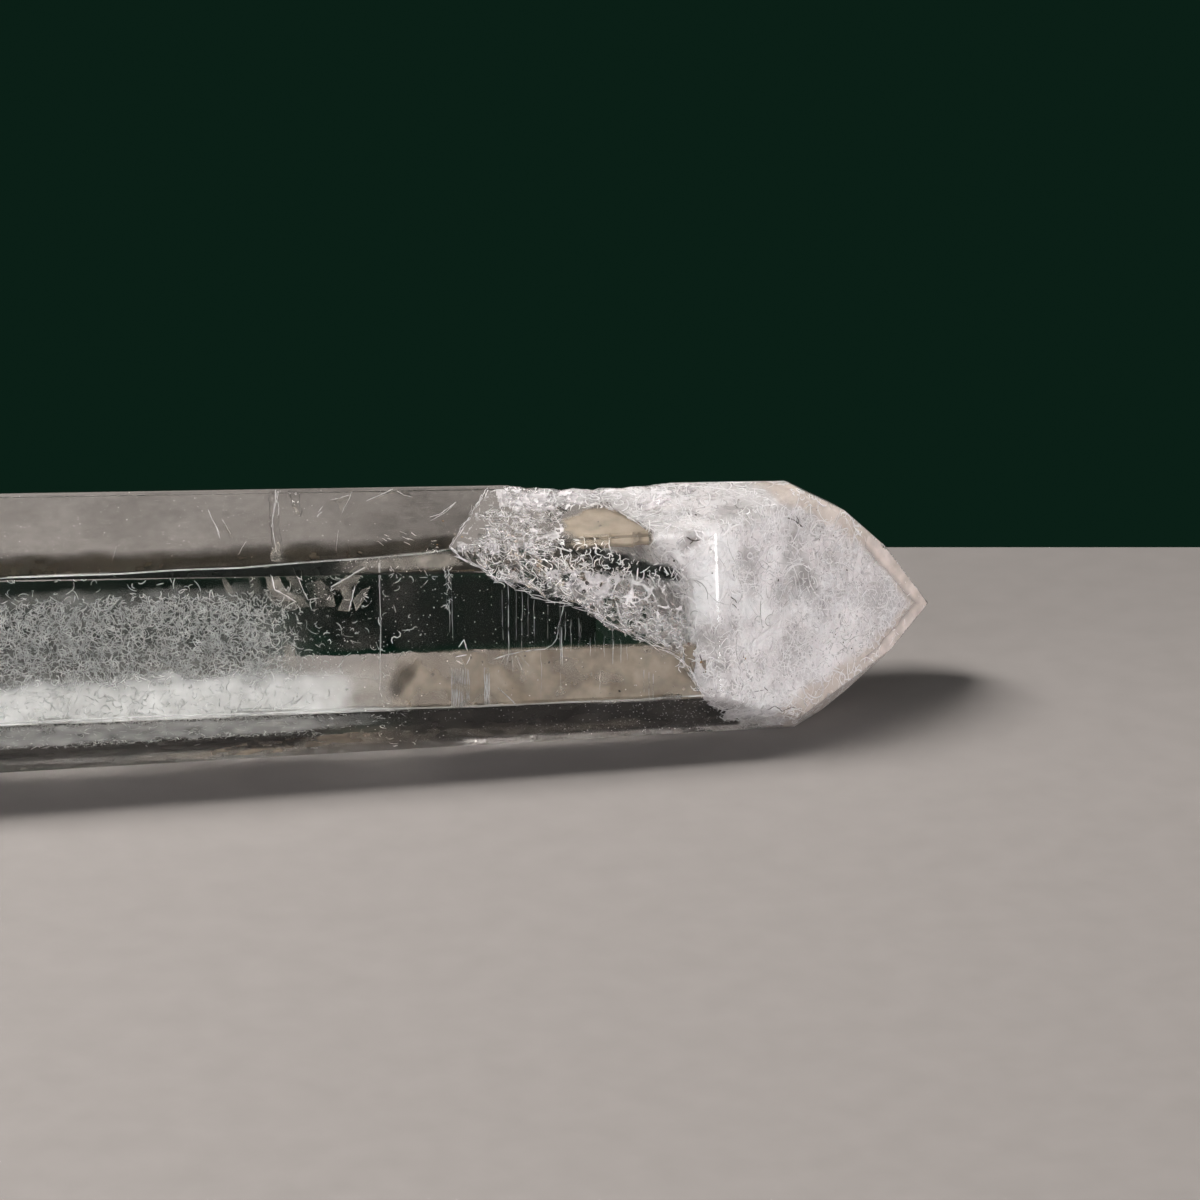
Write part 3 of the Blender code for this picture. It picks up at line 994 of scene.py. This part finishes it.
band("edge_shade", lambda x: upper_line(x) + 1.4, lambda x: bright_line(x) + 1.4, -138, 356, 200, 7, 0.25, deep_shade,
     lambda x, v, base: 0.96 * step(354, 322, x))
band("line_shade", lambda x: bright_line(x) - 1.0, lambda x: bright_line(x) + 1.6, 340, 488, 120, 5, 0.25, deep_shade,
     lambda x, v, base: 0.85 * step(0.0, 0.3, v) * step(488, 470, x))
band("edge_light", lambda x: upper_line(x) + 0.2, lambda x: upper_line(x) + 1.7, -138, 447, 300, 2, 0.14, haze,
     lambda x, v, base: (0.52 + 0.30 * swell(base, 0.002, 141)) * (1.0 - 0.45 * step(250, 330, x)))


def deep_cover(x, v, base):
    return (0.42 + 0.22 * step(300, 360, x) + 0.12 * swell(base, 0.003, 142)) * step(0.0, 0.12, v) * step(1.0, 0.85, v)


band("deep_film", lambda x: bright_line(x) + 2.0, lambda x: np.interp(x, [-130, 270, 345, 600], [606, 603, 654, 646]), -130, 596, 150, 16, 5.2,
     deep_shade, deep_cover)


def bottom_line(x):
    return np.interp(x, [-140, 5, 740], [784, 773, 730])


# painted shade: a dark film along the lower face, where the shadowed ground shows through
band("low_dark", lambda x: bottom_line(x) - 23, lambda x: bottom_line(x) - 9, -130, 312, 200, 8, 0.4, film_shade,
     lambda x, v, base: np.sin(np.pi * np.clip(v, 0, 1)) ** 0.6 * step(312, 285, x) * 0.9)


def smudge_cover(x, y, rim, base):
    patches = np.clip(0.35 + 0.9 * swell(base, 0.0022, 97) + 0.35 * swell(base, 0.0008, 98), 0.0, 1.0)
    return (0.42 - 0.38 * step(370, 450, x)) * patches * step(0.0, 8.0, rim)


veil("smudges", [(285, 575), (360, 572), (450, 568), (486, 578), (545, 605), (640, 640), (600, 643), (480, 648), (330, 656), (285, 640)],
     2.0, grey_cloud, spacing=2.6, relief=0.1, seed=112, ragged=2.0, cover=smudge_cover)


def thread_cover(x, y, rim, base):
    fade_right = 1.0 - step(235, 325, x + 0.25 * (640 - y))
    return fade_right * step(0.0, 16.0, rim) * np.clip(0.62 + 0.3 * swell(base, 0.002, 99), 0.0, 1.0)


veil("thread_haze", [(-125, 598), (60, 588), (180, 583), (290, 582), (340, 600), (340, 690), (180, 700), (-125, 705)],
     4.2, grey_haze, spacing=3.2, relief=0.2, seed=113, ragged=4.0, cover=thread_cover)


def low_haze_cover(x, y, rim, base):
    patches = np.clip(0.62 + 0.40 * swell(base, 0.0016, 144), 0.0, 1.0)
    return 0.68 * patches * step(0.0, 5.0, rim) * step(402, 285, x + 16 * swell(base, 0.0025, 145))


veil("low_haze", [(-125, 732), (5, 727), (150, 720), (300, 714), (400, 710), (410, 722), (340, 730), (290, 735), (150, 743), (5, 751), (-125, 761)],
     1.1, haze, spacing=2.4, relief=0.15, seed=114, ragged=2.0, cover=low_haze_cover)


def glow_cover(x, y, rim, base):
    ends = step(120, 240, x) * (1.0 - 0.65 * step(340, 420, x))
    return ends * np.clip(0.80 + 0.80 * swell(base, 0.0011, 146), 0.0, 1.0) * step(0.0, 1.6, rim)


veil("low_glow", [(100, 758), (200, 751), (262, 739), (330, 733), (420, 728), (560, 722), (640, 719), (640, 727), (560, 733), (420, 742),
                  (330, 748), (250, 756), (110, 765)], 0.45, tan_clear, spacing=1.9, relief=0.2, seed=147, ragged=1.5, cover=glow_cover)


def low_cover(x, v, base):
    ends = step(372, 440, x + 8 * swell(base, 0.002, 94)) * step(0.0, 5.0, 741 - x - 30 * (0.55 - v) * (v < 0.55))
    return 0.90 * ends * step(0.0, 0.05, v) * step(1.0, 0.90, v)


# painted shade: a dark film under the lower face, where the shadowed ground shows through
band("lower_face_shade", lambda x: lower_line(x) + 0.8 + 6.0 * step(690, 745, x), lambda x: np.minimum(bottom_line(x) - 5.0, lower_line(x) + 33),
     372, 742, 260, 16, 0.5, film_shade, low_cover)


def tan_top(x):
    return np.interp(x, [300, 340, 480, 600, 700], [656, 653, 648, 644, 641])


def tan_cover(x, v, base):
    mottle = 1.0 + 0.22 * swell(base, 0.0022, 131) + 0.14 * swell(base, 0.0009, 132)
    return step(335, 455, x + 32 * swell(base, 0.0024, 95)) * step(0.0, 0.10, v) * mottle * (0.80 + 0.25 * v)


# a warm tan tint along the lower front strip, and painted shade dimming it where the shadowed ground shows through
band("tan_film", tan_top, lambda x: lower_line(x) + 0.2, 318, 706, 230, 24, 0.8, tan, tan_cover)
band("low_edge_light", lambda x: lower_line(x) - 1.4, lambda x: lower_line(x) + 0.4, -128, 704, 360, 2, 0.14, haze,
     lambda x, v, base: (0.50 + 0.30 * swell(base, 0.002, 148)) * (1.0 - 0.35 * step(330, 420, x)))
veil("tan_wedge", [(348, 560), (366, 559), (420, 554), (447, 550), (456, 556), (466, 566), (440, 570), (400, 571), (366, 568)],
     0.7, blade, spacing=1.0, relief=0.1, seed=121, ragged=1.0,
     cover=lambda x, y, rim, base: step(0.0, 4.0, rim) * (0.30 + 0.30 * step(350, 440, x)))


def haze_cover(x, v, base):
    soft = step(0.0, 0.50, v + 0.14 * swell(base, 0.0022, 133)) * step(1.04, 0.97, v)
    along = 1.0 - 0.80 * step(215, 400, x + 34 * swell(base, 0.0028, 96) - 60 * v) - 0.2 * step(380, 420, x)
    return soft * along * (0.90 + 0.10 * swell(base, 0.001, 149))


band("pale_haze", lambda x: lower_line(x) - 47, lambda x: lower_line(x) + 0.8, -128, 422, 230, 30, 1.2, haze, haze_cover)

# a pinkish skin of milk that reaches right up to the edges round the very point
veil("apex_film", [(868, 533), (886, 548), (903, 566), (916, 584), (931, 602), (917, 622), (902, 639), (884, 656), (870, 668), (864, 655), (896, 624),
                   (908, 603), (896, 582), (864, 552)], 0.12, apex_milk, spacing=0.7, relief=0.04, seed=151, ragged=2.5,
     cover=lambda x, y, rim, base: 0.95 - 0.90 * step(5.0, 14.0, (1.12 * (929 - x) - np.abs(y - 603)) / 1.5))

# small curved cracks that mirror the light
cracks = [
    ("e", [(268, 492), (276, 491), (284, 556), (272, 558)], 0.8, 0.25, (3.0, 0.3)),
    ("f", [(288, 491), (300, 492), (302, 518), (294, 512)], 0.6, 0.15, (-2.0, 1.0)),
    ("i", [(432, 722), (442, 720), (436, 734), (430, 733)], 0.4, 0.1, (1.5, 1.5)),
    ("j", [(468, 731), (478, 735), (476, 738), (466, 734)], 0.4, 0.1, (1.5, -1.5)),
    ("m", [(262, 738), (330, 733), (322, 747), (280, 752)], 0.5, 0.12, (0.8, 1.2)),
]
for tag, outline, deep, rough, lean in cracks:
    veil("crack_" + tag, outline, deep, gap, spacing=0.8, relief=rough, size=0.0009, seed=200 + ord(tag), thick=0.03,
         hollow=True, ragged=1.2, tilt=lean)

veil("brown_cloud", [(384, 680), (392, 668), (408, 662), (424, 660), (420, 676), (408, 692), (396, 704), (386, 700)], 0.6, shade,
     spacing=1.2, relief=0.1, seed=140, ragged=2.0, soft=11.0, cover=lambda x, y, rim, base: 0.26 + 0.16 * swell(base, 0.0012, 143))

# thin pale blades, brightest along their edges; the bright edges are painted glints of light caught by small fractures:
# outline, depth, tilt, least cover
blades = [
    ("a", [(217.5, 570), (220.5, 570.5), (238, 599), (232, 602), (226.5, 600)], 0.5, (1.2, -0.8), 0.30),
    ("b", [(262, 568), (272, 566), (281, 580), (290, 590), (300, 598), (290, 603), (276, 600), (268, 588)], 0.7, (1.0, 1.6), 0.42),
    ("c", [(281, 573), (287, 567), (293, 566), (297, 574), (300, 584), (308, 599), (300, 601), (292, 592), (288, 582)], 1.0, (1.6, 0.8), 0.28),
    ("d", [(328, 589), (342, 578), (354, 568), (366, 558.5), (366.5, 568), (360, 579), (355, 590), (350, 612), (338, 612), (344, 598), (340, 590)],
     0.9, (-2.0, 1.5), 0.42),
    ("s", [(248, 572), (256, 570), (262, 584), (258, 596), (250, 586)], 0.8, (1.0, 1.2), 0.15),
    ("t", [(306, 584), (322, 580), (334, 592), (336, 606), (322, 608), (310, 598)], 1.3, (-1.2, 1.0), 0.18),
    ("u", [(352, 600), (362, 590), (372, 586), (366, 598), (356, 612)], 1.0, (1.2, 1.0), 0.22),
    ("g", [(277.5, 541), (280, 547), (281, 555), (286, 562), (271, 562), (269.5, 555), (274, 549)], 0.35, (0.5, 0.5), 0.75),
    ("h", [(296, 565), (330, 560), (352, 560), (338, 574), (318, 580), (304, 575)], 0.9, (1.0, -1.0), 0.10),
    ("k", [(283, 643), (295, 646), (296, 676), (286, 672)], 1.0, (1.5, -1.0), 0.35),
    ("n", [(290.5, 502), (294, 503), (301.5, 517), (296, 515)], 0.4, (1.0, 1.0), 0.35),
    ("o", [(222, 524), (226, 523), (233, 536), (229, 537)], 0.4, (1.0, 1.0), 0.25),
    ("p", [(330, 500), (349, 495), (353, 491), (345, 508), (341, 513), (338, 503)], 0.4, (1.0, -1.0), 0.25),
    ("q", [(368, 500), (393, 489), (404, 489), (412, 496), (398, 495), (388, 494)], 0.4, (1.0, -1.0), 0.30),
    ("r", [(262, 590), (300, 596), (312, 606), (290, 612), (268, 604)], 1.2, (1.0, 1.0), 0.25),
]
for tag, outline, deep, lean, least in blades:
    veil("blade_" + tag, outline, deep, blade, spacing=0.7, relief=0.12, size=0.0012, seed=300 + ord(tag), thick=0.03,
         ragged=1.4, tilt=lean, cover=lambda x, y, rim, base, low=least: np.clip(
             low * (0.75 + 0.8 * swell(base, 0.0011, 141))
             + (1.0 - low) * np.exp(-(rim / 1.1) ** 2) * np.clip(0.35 + 1.1 * swell(base, 0.0013, 142), 0.0, 1.0), 0.0, 1.0))

# ---------------------------------------------------------------- threads in the clear body
rng = np.random.default_rng(7)


def scattered(count, box, density, rng, depth=(0.3, 6.0)):
    """Pixels spread over a box by rejection against a density function, with depths."""
    xs, ys = [], []
    while len(xs) < count:
        x = rng.uniform(box[0], box[2], 4000)
        y = rng.uniform(box[1], box[3], 4000)
        ok = rng.uniform(size=4000) < density(x, y)
        xs.extend(x[ok]); ys.extend(y[ok])
    x, y = np.array(xs[:count]), np.array(ys[:count])
    return spot(x, y, depth=rng.uniform(depth[0], depth[1], count))


def tangle(x, y):
    top = upper_line(x) + 24
    low = lower_line(x)
    inside_m = step(top - 2, top + 12, y) * (y < low)
    inside_l = (y >= low) * 0.8
    fade_right = 1.0 - step(235, 325, x + 0.25 * (640 - y))
    sparse = 0.04 * (x < 420)
    return np.clip((inside_m + inside_l) * fade_right + sparse, 0, 1)


for part in range(2):
    centres = scattered(5450, (-120, 575, 430, 748), tangle, rng, (0.25, 5.0))
    paths = inside_only(arcs(centres, rng.uniform(0.0005, 0.0014, len(centres)),
                             rng.uniform(0.5, 3.6, len(centres)), rng), 0.00012)
    threads("fine_threads_%d" % part, paths, rng.uniform(0.000030, 0.000074, len(paths)), frost)


def strokes(name, items, material, rng, depth=0.3, steps=7, sway=0.6):
    """Fine lines drawn from (x0, y0, x1, y1, half width in mm) in the photograph's pixels."""
    items = np.array(items, float)
    t = np.linspace(0, 1, steps)
    x = items[:, 0:1] + (items[:, 2:3] - items[:, 0:1]) * t + rng.normal(0, sway, (len(items), steps)) * 0.4
    y = items[:, 1:2] + (items[:, 3:4] - items[:, 1:2]) * t
    paths = spot(x, y, depth=depth + 0.15 * rng.uniform(size=(len(items), 1)))
    ok = (outside(paths) < -0.00004).all(axis=1)
    return threads(name, paths[ok], items[ok, 4] * MM, material)


def polyline(points, half):
    return [(a[0], a[1], b[0], b[1], half) for a, b in zip(points, points[1:])]


growth = [(380, 560, 380, 700, .018), (448, 566, 450, 632, .035), (451, 575, 453, 640, .025), (446, 570, 447, 610, .02),
          (502, 590, 503, 640, .02), (508, 584, 509, 655, .05), (522, 588, 522, 656, .03), (534, 600, 534, 652, .02),
          (548, 606, 548, 640, .02), (562, 627, 562, 670, .05), (560, 600, 561, 690, .02), (566, 612, 565, 640, .03),
          (579, 618, 579, 650, .03), (581, 622, 581, 646, .02), (590, 638, 590, 656, .02), (604, 638, 604, 657, .03),
          (613, 626, 613, 664, .045), (621, 640, 621, 663, .03), (627, 645, 627, 660, .02), (644, 670, 644, 692, .04),
          (649, 672, 649, 698, .04), (653, 674, 653, 698, .04), (600, 668, 600, 690, .02), (541, 650, 541, 700, .015),
          (516, 590, 516, 640, .015), (528, 594, 528, 645, .015), (571, 618, 571, 652, .02), (595, 632, 595, 652, .015)]
growth += [(451 + 1.6 * k, 668 + (k % 3), 452 + 1.6 * k, 706, .05) for k in range(12)]
growth += [(484.5 + 1.5 * k, 668, 485 + 1.5 * k, 706, .06) for k in range(4)]
growth += [(498, 688, 518, 706, .06), (509, 654, 505, 668, .04), (512, 654, 513, 672, .03), (516, 655, 522, 670, .03),
           (520, 655, 529, 666, .03), (505, 655, 498, 672, .03)]
hook = [(565, 603), (561, 616), (558, 628), (557, 638), (552, 645), (545, 649), (534, 650), (520, 652), (506, 655), (494, 659)]
growth += [(a[0], a[1], b[0], b[1], .06) for a, b in zip(hook, hook[1:])]
strokes("growth_lines", growth, faint, rng, depth=0.25)
hair = [(209, 511, 213, 521, .03), (213, 521, 220, 533, .035), (222, 519, 231, 534, .025), (430, 521, 446, 512, .03), (446, 512, 455, 503, .03),
        (318, 512, 323, 506, .03), (112, 562, 116, 546, .015), (238, 555, 246, 541, .015), (336, 552, 338, 530, .015), (279, 491, 272, 520, .03), (272, 520, 276, 552, .03)]
hair += [(459, 647, 464, 640, .07), (464, 640, 467, 650, .07), (456, 657, 466, 655, .08), (457, 661, 462, 664, .07), (470, 657, 467, 664, .05)]
hair += polyline([(208, 510), (212, 519), (217, 528), (220, 538)], .035) + polyline([(276, 490), (275, 503), (273, 515), (272, 527)], .035)
hair += polyline([(277, 491), (277, 500), (279, 508), (278, 516)], .025) + polyline([(330, 500), (340, 498), (349, 495)], .03)
hair += polyline([(342, 513), (347, 503), (352, 492)], .03) + polyline([(366, 501), (380, 495), (393, 489)], .04)
hair += polyline([(397, 491), (404, 495), (412, 497)], .035) + polyline([(430, 517), (440, 514), (448, 508), (456, 502)], .05)
hair += polyline([(317, 517), (319, 514), (322, 512)], .05) + polyline([(379, 563), (379.5, 590), (381, 620), (380, 690)], .03)
hair += polyline([(331, 587), (345, 579), (364, 568)], .10) + polyline([(355, 586), (352, 598), (349, 611)], .06)
hair += polyline([(271, 575), (275, 590), (283, 594), (296, 602)], .08) + polyline([(292, 567), (297, 577), (302, 580), (301, 570)], .05)
hair += polyline([(298, 577), (303, 590), (308, 600), (318, 598)], .04)
for cx, cy, count, reach in ((395, 572, 9, 8), (429, 577, 8, 10), (448, 573, 7, 7), (362, 596, 6, 8), (330, 594, 7, 7)):
    for _ in range(count):
        turn = rng.uniform(0, 2 * math.pi)
        near, far = rng.uniform(1, 4), rng.uniform(5, reach)
        hair.append((cx + near * math.cos(turn), cy + near * math.sin(turn), cx + far * math.cos(turn + 0.2), cy + far * math.sin(turn + 0.2),
                     rng.uniform(.02, .035)))
for _ in range(9):
    a, b, length = rng.uniform(376, 412), rng.uniform(531, 543), rng.uniform(4, 9)
    turn = rng.uniform(0.3, 0.8)
    hair.append((a, b, a + length * math.cos(turn), b + length * math.sin(turn) * 0.8, rng.uniform(.015, .03)))
for _ in range(24):
    a, b = 448 + rng.normal(0, 1.6), rng.uniform(562, 612)
    hair.append((a, b, a + rng.normal(0, 2), b + rng.uniform(2, 6), rng.uniform(.02, .04)))
strokes("hairlines", hair, white_veil, rng, depth=0.2)
ghost = polyline([(716, 518), (719, 526), (718, 535), (716, 546), (715, 556)], .03)
ghost += polyline([(720, 527), (716, 534), (708, 540), (700, 545)], .05)
ghost += polyline([(776, 556), (786, 557), (796, 561), (808, 567), (820, 575), (822, 590), (821, 604), (820, 619)], .035)
ghost += polyline([(752, 643), (758, 637), (765, 632), (773, 627), (782, 619)], .13)
ghost += polyline([(757, 645), (765, 638), (776, 630), (788, 625)], .07)
ghost += polyline([(730, 560), (727, 575), (729, 590), (724, 604), (728, 618)], .05)
ghost += polyline([(742, 538), (752, 532), (764, 530), (776, 535)], .05)
ghost += polyline([(800, 548), (812, 556), (828, 570), (838, 588)], .03)
ghost += polyline([(764, 712), (774, 708), (784, 713), (794, 708), (804, 712)], .05)
ghost += polyline([(846, 517), (856, 540), (864, 559), (874, 572), (885, 583), (896, 597), (907, 611)], .03)
ghost += polyline([(905, 613), (884, 625), (862, 638), (845, 657), (828, 675), (815, 695), (803, 713)], .03)
ghost += polyline([(690, 560), (700, 552), (712, 556), (714, 568), (704, 574), (694, 570)], .05)
ghost += polyline([(770, 575), (762, 590), (766, 606), (778, 612), (790, 604)], .05)
ghost += polyline([(800, 640), (812, 632), (822, 640), (818, 652), (806, 654), (800, 646)], .05)
ghost += polyline([(784, 655), (790, 646), (800, 648), (802, 658), (794, 664)], .06)
ghost += polyline([(720, 690), (732, 684), (746, 690), (760, 684)], .04) + polyline([(752, 500), (764, 506), (780, 504), (792, 512)], .04)
strokes("ghost_lines", ghost, pure, rng, depth=0.16, sway=1.0)
a = rng.uniform(545, 690, 170)
b = np.interp(a, [545, 580, 612, 648, 690], [548, 551, 559, 569, 582]) + rng.normal(0, 8.5, 170) + np.where(a < 600, 4.0, 5.0)
curled = inside_only(arcs(spot(a, b, depth=rng.uniform(0.4, 1.4, 170)), rng.uniform(0.0003, 0.0016, 170), rng.uniform(0.5, 4.0, 170), rng), 0.00006)
threads("streak_wisps", curled, rng.uniform(0.00003, 0.00010, len(curled)), pure)
# bright broken edge of the fracture
rim_line = [(490, 488), (483, 497), (476, 507), (470, 516), (463, 526), (457, 537), (450, 547), (458, 555), (470, 563), (486, 572),
            (500, 580), (516, 588), (532, 594), (546, 600), (560, 603), (574, 606), (590, 612), (604, 619), (618, 628), (632, 634),
            (648, 641), (662, 648), (676, 656), (688, 668), (698, 684), (703, 694), (716, 703), (730, 712), (742, 722)]
edge_strokes = []
for a, b in zip(rim_line, rim_line[1:]):
    for _ in range(3):
        o = rng.normal(0, 1.6, 4)
        edge_strokes.append((a[0] + o[0], a[1] + o[1], b[0] + o[2], b[1] + o[3], rng.uniform(.02, .06)))
strokes("fracture_rim", edge_strokes, white_veil, rng, depth=0.2, steps=5, sway=1.5)


# dark flakes and specks in the milky end
flakes = polyline([(687, 537), (691, 540), (695, 541), (700, 540)], .09) + polyline([(690, 544), (693, 541)], .07)
flakes += polyline([(788, 518), (794, 520), (799, 524), (803, 527)], .10)
flakes += polyline([(796, 516), (799, 521), (797, 526)], .07) + polyline([(731, 597), (735, 600), (737, 603)], .07)
flakes += polyline([(733, 604), (737, 608)], .06) + polyline([(754, 692), (764, 690)], .04) + polyline([(700, 655), (702, 661)], .08)
flakes += polyline([(767, 710), (775, 706), (783, 711), (792, 707), (801, 711)], .05) + polyline([(560, 590), (563, 594)], .05)
flakes += polyline([(688, 512), (690, 517)], .05) + polyline([(735, 505), (738, 508)], .05) + polyline([(764, 687), (768, 691)], .05)
strokes("dark_flakes", flakes, dark_speck, rng, depth=0.22, steps=4, sway=0.5)


# specks
def dots(name, box, count, size, material, density=None, depth=(0.2, 4.0)):
    density = density or (lambda x, y: np.ones_like(x))
    centres = scattered(count, box, density, rng, depth)
    centres = centres[outside(centres) < -0.00012]
    return grains(name, centres, rng.uniform(size[0], size[1], len(centres)) * MM, material, rng)


dots("specks_top", (-120, 488, 480, 560), 420, (0.02, 0.055), pure, lambda x, y: (y < upper_line(x) - 3) * 1.0, (0.1, 3.0))
dots("specks_front", (250, 555, 700, 700), 1000, (0.02, 0.07), pure,
     lambda x, y: ((y > upper_line(x) + 2) & (y < lower_line(x))) * (0.35 + 0.65 * step(430, 330, x)), (0.2, 3.0))
dots("specks_low", (330, 695, 742, 742), 520, (0.03, 0.085), pure,
     lambda x, y: ((y > lower_line(x) + 2) & (y < lower_line(x) + 32)) * (0.25 + 0.75 * step(585, 640, x)), (0.05, 0.4))
dots("dark_specks", (470, 486, 900, 720), 130, (0.05, 0.13), dark_speck, None, (0.15, 0.6))
rust = spot(np.array([743, 745, 741, 701, 462, 443, 437]), np.array([657, 659, 660, 662, 537, 521, 545]), depth=0.4)
grains("rusty_specks", rust, np.array([.28, .2, .15, .2, .12, .12, .15]) * MM, rust_speck, rng)

# worm-like wisps lying on the milky end, mostly white and some grey
count = 3950
pick = rng.choice(len(core_points), count, replace=False)
at = held_in(core_points[pick] + core_normals[pick] * rng.uniform(0.0, 0.00012, count)[:, None], 0.0001)
lie = core_normals[pick]
wisps = arcs(at, rng.uniform(0.0008, 0.0042, count), rng.uniform(0.8, 5.0, count), rng, steps=7)
wisps = wisps - (np.einsum("nij,nj->ni", wisps - at[:, None], lie))[..., None] * lie[:, None] * 0.92
wisps = held_in(wisps, 0.00008)
threads("white_wisps", wisps[:3500], rng.uniform(0.000035, 0.000120, 3500), pure)
threads("grey_wisps", wisps[3500:], rng.uniform(0.00002, 0.00006, count - 3500), grey_wisp)

# glints and wisps lying on the fracture
pick = rng.choice(len(fracture_points), 1200, replace=False)
at = fracture_points[pick] + fracture_normals[pick] * rng.uniform(-0.0003, 0.0003, 1200)[:, None]
lie = fracture_normals[pick]
wisps = arcs(at, rng.uniform(0.0005, 0.0024, 1200), rng.uniform(0.5, 4.0, 1200), rng, steps=6)
wisps = wisps - (np.einsum("nij,nj->ni", wisps - at[:, None], lie))[..., None] * lie[:, None] * 0.85
wisps = inside_only(wisps, 0.00006)
threads("fracture_wisps", wisps, rng.uniform(0.00002, 0.00007, len(wisps)), pure)
